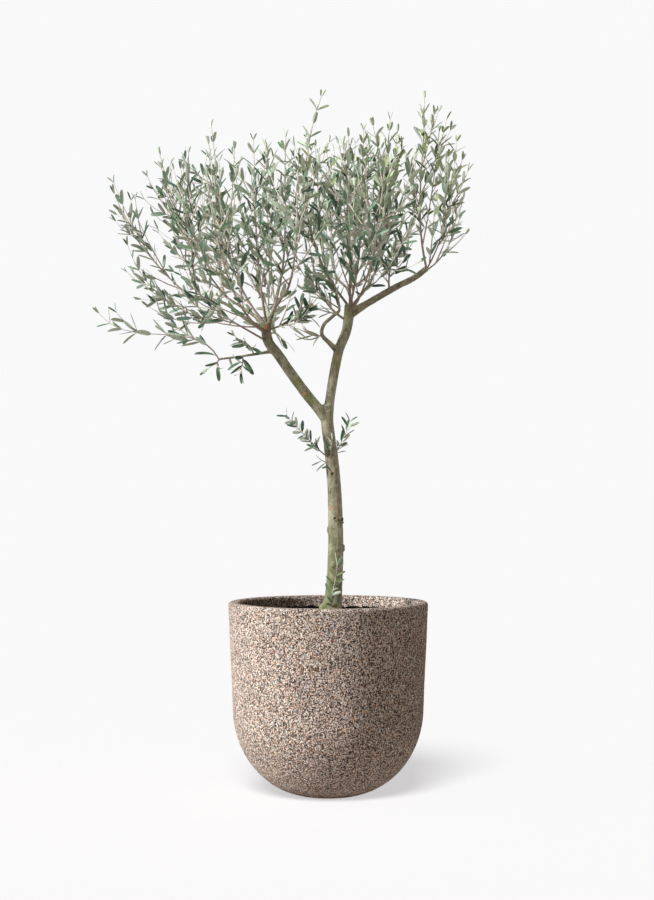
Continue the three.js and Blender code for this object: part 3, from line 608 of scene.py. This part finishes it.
def girth(share):  # how wide a mass is along its stem, as a share of its spread
    widest, foot, tip = growth["widest"], growth["footGirth"], growth["tipGirth"]
    if share < widest:
        return foot + (1 - foot) * math.sin(share / widest * math.pi / 2)
    return 1 - (1 - tip) * ((share - widest) / (1 - widest)) ** growth["girthPower"]


def massStem(mass):
    path = limbs[mass["limb"]]["path"]
    foot = path[int(round(mass["at"] * limbSteps))] + mass["off"]
    tip = np.array(mass["tip"], dtype=float)
    span = np.linalg.norm(tip - foot)
    arrival = unit(unit(mix(unit(tip - foot), up, mass["upturn"])) + np.array([mass["lean"], 0, 0]))
    end = tip - arrival * growth["tipLeafReach"]
    first = foot + unit(np.array(mass["heading"])) * span * growth["stemHandle"]
    second = end - arrival * span * growth["stemHandle"]
    shares = np.linspace(0, 1, growth["stemSteps"] + 1)[:, None]
    rest = 1 - shares
    return (rest ** 3 * foot + 3 * rest ** 2 * shares * first + 3 * rest * shares ** 2 * second
            + shares ** 3 * end)


masses = []
for number, (massName, mass) in enumerate(massTable.items()):
    stem = massStem(mass)
    core = np.concatenate([stem, [mass["tip"]]])
    reaches = [mass["spread"] * girth(min(step / growth["stemSteps"], 1)) for step in range(len(core))]
    masses.append({**mass, "name": massName, "number": number, "stem": stem, "core": core,
                   "reaches": np.array(reaches), "seed": number + 11})
allCores = np.concatenate([mass["core"] for mass in masses])
allReaches = np.concatenate([mass["reaches"] for mass in masses])
coreSize = growth["stemSteps"] + 2


# which places lie in the mass's own space and off every limb
def hasRoom(mass, places, radius, farthest, nearLimb=1.5):
    places = np.atleast_2d(places)
    distances = np.linalg.norm(places[:, None] - allCores[None], axis=2)
    ownSlice = slice(mass["number"] * coreSize, (mass["number"] + 1) * coreSize)
    own = ((distances[:, ownSlice] + radius) / allReaches[ownSlice]).min(axis=1)
    others = (distances - radius) / allReaches
    others[:, ownSlice] = np.inf
    fromLimbs = np.linalg.norm(places[:, None] - limbCentres[None], axis=2) - limbGirths
    return (own <= farthest) & (own < others.min(axis=1)) & (fromLimbs.min(axis=1) > radius + nearLimb)


def placeOn(path, share):
    steps = len(path) - 1
    step = min(int(share * steps), steps - 1)
    return mix(path[step], path[step + 1], share * steps - step), unit(path[step + 1] - path[step])


def sideOf(along, turn):
    one = unit(np.cross(along, np.array([0, 1, 0.13])))
    return one * math.cos(turn) + np.cross(along, one) * math.sin(turn)


def pathLength(path):
    return np.linalg.norm(np.diff(path, axis=0), axis=1).sum()


def sideShoot(mass, path, share, turn, angle, length, kind):  # None where there is too little room
    place, along = placeOn(path, share)
    leaving = along * math.cos(angle) + sideOf(along, turn) * math.sin(angle)
    arriving = unit(mix(leaving, up, growth[kind + "Lift"]))
    steps = growth[kind + "Steps"]
    ways = np.linspace(0, 1, steps + 1)[:, None]
    shoot = place + length * (leaving * (ways - ways ** 2 / 2) + arriving * ways ** 2 / 2)
    roomy = hasRoom(mass, shoot[1:], 1.2, growth[kind + "Reach"])
    kept = len(roomy) if roomy.all() else int(np.argmin(roomy))
    return shoot[:kept + 1] if kept >= growth["leastKept"] * steps else None


def massTwigs(mass):  # every twig of a mass, with its radii and its share of bare foot
    draw = makeDraw(mass["seed"])
    fineDraw = makeDraw(mass["seed"] + 300)
    stemLength = pathLength(mass["stem"])
    size = min(1, max(growth["leastSize"], mass["spread"] / growth["fullSpread"]))
    bare = mass["bare"]
    twigs = [{"path": mass["stem"], "radii": [size * radius for radius in growth["stemRadii"]],
              "bare": mass["leafless"], "youth": (0, 1)}]
    shoots = round(mass["shoots"] * growth["shootShare"])
    for index in range(shoots):
        share = bare + (growth["lastShoot"] - bare) * (index + draw(0, 0.6)) / shoots
        turn = index * growth["goldenTurn"] + draw(-0.5, 0.5)
        length = (1 - mass["leader"] - share) * stemLength * draw(*growth["shootSpan"]) + growth["shootExtra"]
        sideways = mass["spread"] * math.sqrt(draw(0.12, 1.1))
        angle = math.asin(min(0.88, sideways / (growth["shootSide"] * length)))
        shoot = sideShoot(mass, mass["stem"], share, turn, max(angle, 0.35), length, "shoot")
        if shoot is None:
            continue
        twigs.append({"path": shoot, "radii": growth["shootRadii"], "bare": growth["shootBare"],
                      "youth": (min(1, share + 0.2), 1)})
        shootLength = pathLength(shoot)
        count = int(shootLength / growth["twigSpacing"])
        for order in range(count):
            place = 0.15 + 0.7 * (order + fineDraw(0, 0.6)) / count
            fineLength = (1 - place) * shootLength * fineDraw(*growth["twigSpan"]) + growth["twigExtra"]
            fineTurn = order * growth["goldenTurn"] + fineDraw(-0.6, 0.6)
            fineAngle = math.radians(fineDraw(*growth["twigAngle"]))
            fine = sideShoot(mass, shoot, place, fineTurn, fineAngle, fineLength, "twig")
            if fine is not None:
                twigs.append({"path": fine, "radii": growth["twigRadii"], "bare": growth["twigBare"],
                              "youth": (0.8, 1)})
    return twigs


def twigLeaves(mass, twig, spray, draw):  # opposite pairs of leaves, each pair a quarter turn past the last
    length = pathLength(twig["path"])
    bare = twig["bare"]
    count = max(1, int(length * (1 - bare) / (growth["leafGap"] * mass["leafCrowd"])))
    rollReach = 0.5 + 1.1 * mass["unruly"]
    leaves = []
    for index in range(count + 1):
        inner = index < count
        share = bare + (1 - bare) * index / count
        place, along = placeOn(twig["path"], min(share, 0.999))
        small = mix(mass["tipLeaf"], 1, min(1, (1 - share) * length / growth["smallReach"]))
        size = growth["leafLength"] * mass["leafScale"] * small * draw(*growth["leafSizes"])
        turn = index * math.pi / 2 + draw(-0.35, 0.35) + spray
        angle = math.radians(draw(*growth["pairAngle" if inner else "tipPairAngle"]))
        if mass["unruly"]:
            angle += mass["unruly"] * draw(-0.3, 0.6)
            turn += mass["unruly"] * draw(-0.8, 0.8)
        farthest = growth["leafReach" if inner and mass["shoots"] else "freeReach"]
        for half in (0, math.pi):
            side = sideOf(along, turn + half + draw(-0.25, 0.25))
            direction = unit(along * math.cos(angle) + side * math.sin(angle))
            facing = unit(along * math.sin(angle) - side * math.cos(angle))
            tone, bend, roll = draw(0, 1), draw(-0.08, 0.16), draw(-rollReach, rollReach)
            fold, twist = draw(0.1, 0.55), draw(-0.5, 0.5)
            if hasRoom(mass, place + direction * size, 0.3, farthest, 0.5)[0]:
                leaves.append({"root": place, "along": direction, "facing": facing, "size": size,
                               "spray": spray, "tone": tone, "bend": bend, "roll": roll, "fold": fold,
                               "twist": twist, "fresh": mass["fresh"]})
    return leaves


# Leaf: a slim closed blade, made once and then folded, bent, twisted and set out by arrays

leaf = {
    "stations": ((0, 0.07), (0.07, 0.14), (0.2, 0.7), (0.4, 0.96), (0.62, 1), (0.82, 0.84), (0.94, 0.52)),
    "halfWidth": 0.125, "thickness": 0.008, "gloss": 0.35,
    "warmHeight": 1230, "warmRise": 260, "warmSide": 500,
    "warm": [(110, 126, 79), (90, 109, 67), (132, 145, 99)],
    "cool": [(78, 106, 82), (95, 122, 95), (59, 84, 67)],
    "lower": [(200, 211, 195), (175, 189, 167)], "fresh": [(128, 144, 102), (100, 122, 84)],
}


def bladeArrays():  # corners, faces and which faces are the upper side
    shape = bmesh.new()
    first = bmesh.ops.create_circle(shape, segments=4, radius=1)["verts"]
    corners = sorted(first, key=lambda vertex: math.atan2(vertex.co.y, vertex.co.x))
    rings = [corners]
    for _ in leaf["stations"][1:]:
        loop = rings[-1]
        edges = [next(edge for edge in one.link_edges if other in edge.verts)
                 for one, other in zip(loop, loop[1:] + loop[:1])]
        grown = bmesh.ops.extrude_edge_only(shape, edges=edges)["geom"]
        fresh = [item for item in grown if isinstance(item, bmesh.types.BMVert)]
        rings.append([next(new for new in fresh if any(new in edge.verts for edge in old.link_edges))
                      for old in loop])
    for ring, (way, width) in zip(rings, leaf["stations"]):
        half = leaf["halfWidth"] * width
        thick = leaf["thickness"] * (1.6 - way)
        places = ((way, 0, -thick), (way, half, 0), (way, 0, thick), (way, -half, 0))
        for vertex, place in zip(ring, places):
            vertex.co = place
    bmesh.ops.contextual_create(shape, geom=rings[0])
    tip = bmesh.ops.contextual_create(shape, geom=rings[-1])["faces"]
    poked = bmesh.ops.poke(shape, faces=tip)["verts"]
    poked[0].co = (1, 0, 0)
    bmesh.ops.recalc_face_normals(shape, faces=shape.faces)
    shape.verts.index_update()
    shape.normal_update()
    blade, faces = arraysFromBmesh(shape)
    uppers = [face.normal.z > 0.05 for face in shape.faces]
    shape.free()
    return blade, faces, uppers


blade, bladeFaces, bladeUppers = bladeArrays()


def makeLeafMaterial(name, color, roughness):
    material, graph, shader = newMaterial(name)
    graph.fill(shader, {
        "Base Color": fromBytes(color), "Roughness": roughness, "Specular IOR Level": leaf["gloss"]})
    return material


leafMaterials = []
for tintName, roughness in (("warm", 0.45), ("cool", 0.45), ("lower", 0.6), ("fresh", 0.45)):
    for tintNumber, tint in enumerate(leaf[tintName]):
        leafMaterials.append(makeLeafMaterial(f"{tintName}Leaf{tintNumber}", tint, roughness))


def leafSlots(one):  # materials of a leaf's two sides, dealt out by spray: warmer high up and to the right
    spray = one["spray"]
    warmth = (one["root"][2] - leaf["warmHeight"]) / leaf["warmRise"] + one["root"][0] / leaf["warmSide"]
    upper = (spray + int(one["tone"] * 1.6)) % 3 + (0 if warmth > (spray * 0.618) % 1 else 3)
    if one["fresh"]:
        upper = 8 + (spray + int(one["tone"] * 2)) % 2
    return upper, 6 + (spray + int(one["tone"] * 1.5)) % 2


def leavesMesh(leaves):
    copies = []
    slots = []
    for one in leaves:
        facing = unit(one["facing"] + np.cross(one["along"], one["facing"]) * one["roll"])
        across = np.cross(facing, one["along"])
        way, wide = blade[:, 0], blade[:, 1]
        deep = blade[:, 2] + one["fold"] * np.abs(wide)
        twist = one["twist"] * way
        turned = wide * np.cos(twist) - deep * np.sin(twist)
        raised = wide * np.sin(twist) + deep * np.cos(twist) - one["bend"] * way ** 2
        shaped = np.outer(way, one["along"]) + np.outer(turned, across) + np.outer(raised, facing)
        copies.append(one["root"] + shaped * one["size"])
        upper, lower = leafSlots(one)
        slots += [upper if isUpper else lower for isUpper in bladeUppers]
    mesh = meshFromCopies(copies, bladeFaces, slots)
    mesh.shade_smooth()
    mesh.set_sharp_from_angle(angle=math.radians(50))
    return mesh


def tubeRings(path, radii, sides):
    tangents = np.gradient(path, axis=0)
    tangents /= np.linalg.norm(tangents, axis=1)[:, None]
    side = unit(np.cross(tangents[0], np.array([0.3, 0.9, 0.1])))
    rings = []
    for place, tangent, radius in zip(path, tangents, radii):
        side = unit(side - tangent * (side @ tangent))
        other = np.cross(tangent, side)
        turns = np.arange(sides) * math.tau / sides
        rings.append(place + radius * (np.outer(np.cos(turns), side) + np.outer(np.sin(turns), other)))
    return np.concatenate(rings)


def twigsMesh(twigs):
    corners = []
    faces = []
    youth = []
    offset = 0
    for twig in twigs:
        path = twig["path"]
        sides = 6 if twig["radii"][0] > 1.5 else 5
        radii = np.linspace(*twig["radii"], len(path))
        corners.append(tubeRings(path, radii, sides) * mm)
        youth.append(np.repeat(np.linspace(*twig["youth"], len(path)), sides))
        for step in range(len(path) - 1):
            low = offset + step * sides
            for turn in range(sides):
                following = (turn + 1) % sides
                faces.append([low + turn, low + following, low + sides + following, low + sides + turn])
        faces.append([offset + turn for turn in reversed(range(sides))])
        faces.append([offset + (len(path) - 1) * sides + turn for turn in range(sides)])
        offset += len(path) * sides
    mesh = meshFromArrays(np.concatenate(corners), faces)
    mesh.attributes.new("youth", "FLOAT", "POINT").data.foreach_set("value", np.concatenate(youth))
    mesh.shade_smooth()
    mesh.set_sharp_from_angle(angle=math.radians(65))
    return mesh


twigBark = {"scale": 300, "young": [(0.3, (184, 174, 158)), (0.7, (222, 214, 200))],
            "old": [(0.3, (108, 92, 80)), (0.7, (152, 136, 120))]}


def makeTwigMaterial():
    material, graph, shader = newMaterial("youngTwig")
    flecks = graph.cloud(graph.place(), twigBark["scale"], 2)
    color = graph.blend(graph.stain("youth"), graph.ramp(flecks, twigBark["old"]),
                        graph.ramp(flecks, twigBark["young"]))
    graph.fill(shader, {"Base Color": color, "Roughness": 0.75})
    return material


def growFoliage():
    twigMaterial = makeTwigMaterial()
    leafCount = 0
    for mass in masses:
        twigs = massTwigs(mass)
        draw = makeDraw(mass["seed"] + 500)
        leaves = []
        for spray, twig in enumerate(twigs):
            leaves += twigLeaves(mass, twig, spray + mass["number"], draw)
        leafCount += len(leaves)
        name = mass["name"]
        addPiece(name + "_twigs", twigsMesh(twigs), [twigMaterial], [name])
        addPiece(name + "_leaves", leavesMesh(leaves), leafMaterials, [name])
    print("foliage grown,", leafCount, "leaves")


growFoliage()


# Bark: one skin over trunk and boughs, with knots, scars and a root flare

bark = {
    "voxel": 1.7, "collar": 0.32, "forkCollar": 0.05, "collarPlace": 10, "collarReach": 16, "flare": 5,
    "flareHeight": 15, "lobe": 0.2, "lobeTurn": 2.1, "ripple": 0.5, "rippleSize": 16, "rippleStretch": 0.35,
    "crinkle": 0.22, "crinkleSize": 3.6, "crinkleStretch": 0.5, "smoothing": 4, "markReach": 2.2,
    "slitNarrowing": 2.4, "mossHeight": 240, "mossAmount": 0.5, "mossSwing": 0.35, "mossTurn": 1.6,
}
# marks on the trunk: height, turn from the front (positive to the right), radius, rise and kind
trunkKnots = [
    (731, -16, 7, 1.8, "hole"), (687, -6, 6, 1.6, "hole"), (638, -19, 4, 1.6, "bump"),
    (613, -22, 3, 0.6, "fresh"), (592, -5, 5, 1.4, "hole"), (590, 55, 5, 2.6, "hole"),
    (583, 85, 2.6, 3.4, "bump"), (570, -88, 4, 3, "hole"), (563, -84, 4, 2.6, "bump"),
    (566, 72, 4.5, 1.2, "slit"), (570, -14, 2.4, 0.5, "hole"), (537, -2, 2.2, 0.5, "hole"),
    (528, 82, 6, 3.6, "hole"), (491, -18, 5, 3.4, "bump"), (430, 40, 4.6, 1.4, "hole"),
    (402, -70, 11, 9, "bump"), (660, 150, 5, 1.8, "hole"), (600, 195, 6, 2, "hole"),
    (520, 160, 5, 1.6, "bump"), (470, 215, 4, 1.6, "hole"), (700, 200, 4, 1.2, "bump"),
    (770, 170, 5, 1.4, "hole"), (655, -30, 3, 0.8, "slit"), (550, 30, 3, 0.8, "slit"),
]
# marks on the boughs: place, radius, rise and kind
boughScars = [
    ((-50, -23, 858), 4.5, 1.4, "fresh"), ((-133, -43, 1000), 6, 0.6, "fresh"),
    ((-130, -30, 979), 15, 0.9, "bump"), ((-96, -22, 935), 7, 1.2, "bump"), ((-75, -32, 904), 4, 1.2, "hole"),
    ((-28, -8, 838), 6, 1.4, "bump"), ((212, -12, 1136), 6, 0.5, "fresh"), ((38, 12, 1022), 15, 1.2, "bump"),
    ((44, 18, 1046), 13, 1.3, "bump"), ((30, -2, 972), 5, 1.4, "bump"), ((7, 2, 905), 5, 1.6, "bump"),
    ((60, 5, 1052), 5, 1.2, "hole"), ((120, 0, 1083), 5, 1.4, "bump"), ((32, 4, 1034), 27, 0.2, "moss"),
    ((42, 8, 1060), 5, 1.4, "hole"), ((-40, -18, 848), 22, 0.2, "moss"), ((-66, -22, 884), 16, 0.2, "moss"),
    ((18, 0, 925), 14, 0.2, "moss"), ((-108, -24, 946), 14, 0.2, "moss"),
]


def limbCurve(name, limb):
    data = bpy.data.curves.new(name, "CURVE")
    data.dimensions = "3D"
    data.bevel_depth = mm
    data.bevel_resolution = 5
    data.use_fill_caps = True
    spline = data.splines.new("POLY")
    path = limb["path"][::4]
    spline.points.add(len(path) - 1)
    length = pathLength(path)
    for step, place in enumerate(path):
        share = step / (len(path) - 1)
        radius = mix(*limb["radii"], share)
        collar = bark["forkCollar"] if limb["radii"][0] > 10 else bark["collar"]
        beyond = share * length - bark["collarPlace"]
        radius *= 1 + collar * math.exp(-beyond ** 2 / (2 * bark["collarReach"] ** 2))
        spline.points[step].co = (*(place * mm), 1)
        spline.points[step].radius = radius
    return newObject(name, data)


def evaluatedMesh(thing):
    bpy.context.view_layer.update()
    return bpy.data.meshes.new_from_object(thing.evaluated_get(bpy.context.evaluated_depsgraph_get()))


def trunkCentre(height):
    path = limbs["trunk"]["path"]
    return np.array([np.interp(height, path[:, 2], path[:, axis]) for axis in range(2)])


def aroundTrunk(x, y, z):  # the way out from the trunk's centre, its length and its turn from the front
    away = np.array([x, y]) - trunkCentre(z)
    return away, np.hypot(*away), math.atan2(away[0], -away[1])


def fusedLimbs():
    shape = bmesh.new()
    for name, limb in limbs.items():
        curve = limbCurve(name, limb)
        mesh = evaluatedMesh(curve)
        shape.from_mesh(mesh)
        bpy.data.meshes.remove(mesh)
        bpy.data.objects.remove(curve)
    joined = newObject("joinedLimbs", meshFromBmesh(shape))
    remesh = joined.modifiers.new("fuse", "REMESH")
    remesh.mode = "VOXEL"
    remesh.voxel_size = bark["voxel"] * mm
    fused = evaluatedMesh(joined)
    bpy.data.objects.remove(joined)
    return fused


def markShape(kind, closeness):  # lift and stain of a mark, by the distance from its middle in radii
    dome = math.exp(-(closeness / 0.8) ** 2)
    if kind in ("hole", "slit"):
        ring = math.exp(-((closeness - 0.8) / 0.4) ** 2)
        pit = math.exp(-(closeness / 0.5) ** 2)
        # the stain of a hole or slit darkens its middle: painted shade in the hollow
        return ring - 0.9 * pit, math.exp(-(closeness / 0.62) ** 4)
    return dome, dome


def sumMarks(marks):  # lift, and stain of each kind, of marks given by closeness, rise and kind
    stains = {}
    lift = 0
    for closeness, rise, kind in marks:
        if closeness < bark["markReach"]:
            raised, stain = markShape(kind, closeness)
            lift += rise * raised
            stains[kind] = max(stains.get(kind, 0), stain)
    return lift, stains


def trunkMarks(x, y, z):
    _, radius, turn = aroundTrunk(x, y, z)
    marks = []
    for height, degrees, size, rise, kind in trunkKnots:
        if abs(height - z) <= 3 * size:
            side = math.remainder(turn - math.radians(degrees), math.tau) * radius
            side *= bark["slitNarrowing"] if kind == "slit" else 1
            marks.append((math.hypot(side, z - height) / size, rise, kind))
    return sumMarks(marks)


def boughMarks(place):
    return sumMarks([((place - Vector(centre)).length / size, rise, kind)
                     for centre, size, rise, kind in boughScars])


def makeBarkMesh():
    shape = bmesh.new()
    shape.from_mesh(fusedLimbs())
    for _ in range(bark["smoothing"]):
        bmesh.ops.smooth_vert(shape, verts=shape.verts, factor=0.5,
                              use_axis_x=True, use_axis_y=True, use_axis_z=True)
    shape.normal_update()
    ground = soil["top"]
    dark = shape.verts.layers.float.new("holeShade")
    fresh = shape.verts.layers.float.new("freshCut")
    moss = shape.verts.layers.float.new("greenTint")
    trunkTop = limbs["trunk"]["path"][-1][2]
    for vertex in shape.verts:
        x, y, z = (value / mm for value in vertex.co)
        if z < trunkTop:
            away, radius, turn = aroundTrunk(x, y, z)
            flare = math.exp(-max(z - ground, 0) / bark["flareHeight"])
            lobes = 1 + bark["lobe"] * flare * math.cos(3 * turn - bark["lobeTurn"])
            x, y = trunkCentre(z) + unit(away) * (radius + bark["flare"] * flare) * lobes
            lift, stains = trunkMarks(x, y, z)
            foot = max(0, 1 - (z - ground) / bark["mossHeight"])
            swing = bark["mossSwing"] * math.cos(turn + bark["mossTurn"])
            stains["moss"] = foot * (bark["mossAmount"] + swing)
        else:
            lift, stains = boughMarks(Vector((x, y, z)))
        # holes and slits are painted dark inside: painted shade in the hollows
        vertex[dark] = max(stains.get("hole", 0), stains.get("slit", 0))
        vertex[fresh] = stains.get("fresh", 0)
        vertex[moss] = stains.get("moss", 0)
        place = Vector((x, y, z))
        for kind in ("ripple", "crinkle"):
            spot = Vector((x, y, z * bark[kind + "Stretch"])) / bark[kind + "Size"]
            lift += noise.noise(spot) * bark[kind]
        vertex.co = (place + vertex.normal * lift) * mm
    low = (ground - 4) * mm
    cut = bmesh.ops.bisect_plane(shape, geom=shape.verts[:] + shape.edges[:] + shape.faces[:], dist=0.01 * mm,
                                 plane_co=(0, 0, low), plane_no=(0, 0, -1), clear_outer=True)["geom_cut"]
    bmesh.ops.contextual_create(shape, geom=[item for item in cut if isinstance(item, bmesh.types.BMEdge)])
    return meshFromBmesh(shape)


# scale, detail and roughness of each noise; the places and colours of its tones; the tints that go on top
barkLook = {
    "streaks": (300, 5, 0.65), "patches": (60, 3, 0.6), "lichen": (75, 5, 0.72), "spots": (520, 2, 0.6),
    "stretch": 0.34, "blotches": (30, 0.4), "bumpStrength": 0.8, "bumpDepth": 0.6,
    "streakTones": [(0.3, (76, 73, 56)), (0.5, (122, 118, 96)), (0.72, (178, 173, 148))],
    "patchTones": [(0.36, (80, 84, 60)), (0.5, (130, 126, 105)), (0.64, (176, 166, 143))],
    "pale": (164, 167, 144), "shade": (78, 80, 58), "moss": (104, 118, 56), "lenticels": (196, 186, 162),
    "dark": (34, 27, 22), "cut": (196, 124, 78),
}


def makeBarkMaterial():
    material, graph, shader = newMaterial("oliveBark")
    place = graph.place()
    stretch = (1, 1, barkLook["stretch"])
    stretched = graph.add("ShaderNodeMapping", {"Vector": place, "Scale": stretch}).outputs[0]
    streaks = graph.cloud(stretched, *barkLook["streaks"])
    patches = graph.cloud(stretched, *barkLook["patches"])
    lichen = graph.cloud(place, *barkLook["lichen"])
    spots = graph.cloud(place, *barkLook["spots"])
    color = graph.blend(0.5, graph.ramp(streaks, barkLook["streakTones"]),
                        graph.ramp(patches, barkLook["patchTones"]))
    # tints laid on top; the dark one over holes and slits is painted shade in the hollows
    for cover, tint in ((graph.span(lichen, 0.53, 0.64, 0, 0.55), "pale"),
                        (graph.span(lichen, 0.36, 0.45, 0.4, 0), "shade"),
                        (graph.stain("greenTint", 0.58), "moss"),
                        (graph.span(spots, 0.64, 0.72, 0, 0.35), "lenticels"),
                        (graph.stain("holeShade", 0.92), "dark"),
                        (graph.stain("freshCut", 0.8), "cut")):
        color = graph.blend(cover, color, barkLook[tint])
    finishSurface(graph, shader, place, color, barkLook["blotches"], 0.78, 0.3,
                  (streaks, barkLook["bumpStrength"], barkLook["bumpDepth"]))
    return material


addPiece("barkSkin", makeBarkMesh(), [makeBarkMaterial()], list(limbTable))
print("bark made")


# Stage: pale floor and world, a key sun low on the left, a broad high one and a weak one in front; one on
# the right that only the plant takes, and a broad one that only the floor takes and only the pot's shell
# blocks, so that the shadow stays short and soft. A sun is its strength, angle, turn from the camera's
# side, negative to the left, and rise above the floor.

light = {
    "suns": [(5.2, 15, -68, 24), (2, 40, -60, 74), (0.1, 30, -15, 26)],
    "plantSun": (1.05, 40, 68, 20), "floorSun": (4, 25, -12, 40),
    "fill": 0.165, "backdrop": (249, 249, 250), "floor": 0.4, "floorSize": 40, "floorGlow": 0.58,
    "floorBounce": 0.16, "glowColor": (252, 252, 254), "bounceColor": (255, 212, 180),
    "fillColor": (255, 234, 216),
}


def makeStage():
    shape = bmesh.new()
    bmesh.ops.create_grid(shape, x_segments=1, y_segments=1, size=light["floorSize"])
    floor = newObject("floor", meshFromBmesh(shape, smooth=False))
    material, graph, shader = newMaterial("paleFloor")
    seen = graph.add("ShaderNodeLightPath").outputs["Is Camera Ray"]
    graph.fill(shader, {
        "Base Color": (light["floor"],) * 3 + (1,), "Roughness": 0.9, "Specular IOR Level": 0,
        "Emission Color": graph.blend(seen, light["bounceColor"], light["glowColor"]),
        "Emission Strength": graph.span(seen, 0, 1, light["floorBounce"], light["floorGlow"])})
    floor.data.materials.append(material)


def makeWorld():
    world = bpy.data.worlds.new("paleWorld")
    world.use_nodes = True
    bpy.context.scene.world = world
    graph = Graph(world.node_tree)
    seen = world.node_tree.nodes["Background"]
    seen.inputs["Color"].default_value = fromBytes(light["backdrop"])
    filling = graph.add("ShaderNodeBackground", {
        "Color": fromBytes(light["fillColor"]), "Strength": light["fill"]})
    ray = graph.add("ShaderNodeLightPath").outputs["Is Camera Ray"]
    both = graph.add("ShaderNodeMixShader", {0: ray, 1: filling.outputs[0], 2: seen.outputs[0]})
    graph.fill(world.node_tree.nodes["World Output"], {"Surface": both.outputs[0]})


# names are the pieces that it leaves out, or with included the only ones that it lights
def makeSun(settings, names, included=False, blocker=None):
    strength, angle, turn, rise = settings
    data = bpy.data.lights.new("softSun", "SUN")
    data.energy = strength
    data.angle = math.radians(angle)
    sun = newObject("softSun", data)
    sun.rotation_euler = (math.radians(90 - rise), 0, math.radians(turn))
    receivers = bpy.data.collections.new("sunReceivers")
    for name in names:
        receivers.objects.link(bpy.data.objects[name])
    for member in receivers.collection_objects:
        member.light_linking.link_state = "INCLUDE" if included else "EXCLUDE"
    sun.light_linking.receiver_collection = receivers
    if blocker:
        blockers = bpy.data.collections.new("sunBlockers")
        blockers.objects.link(bpy.data.objects[blocker])
        sun.light_linking.blocker_collection = blockers


makeStage()
makeWorld()
for settings in light["suns"]:
    makeSun(settings, ["floor"])
makeSun(light["plantSun"], ["floor", "potShell"])
makeSun(light["floorSun"], ["floor"], included=True, blocker="potShell")
bpy.context.scene.view_settings.view_transform = "Standard"
print("stage set")
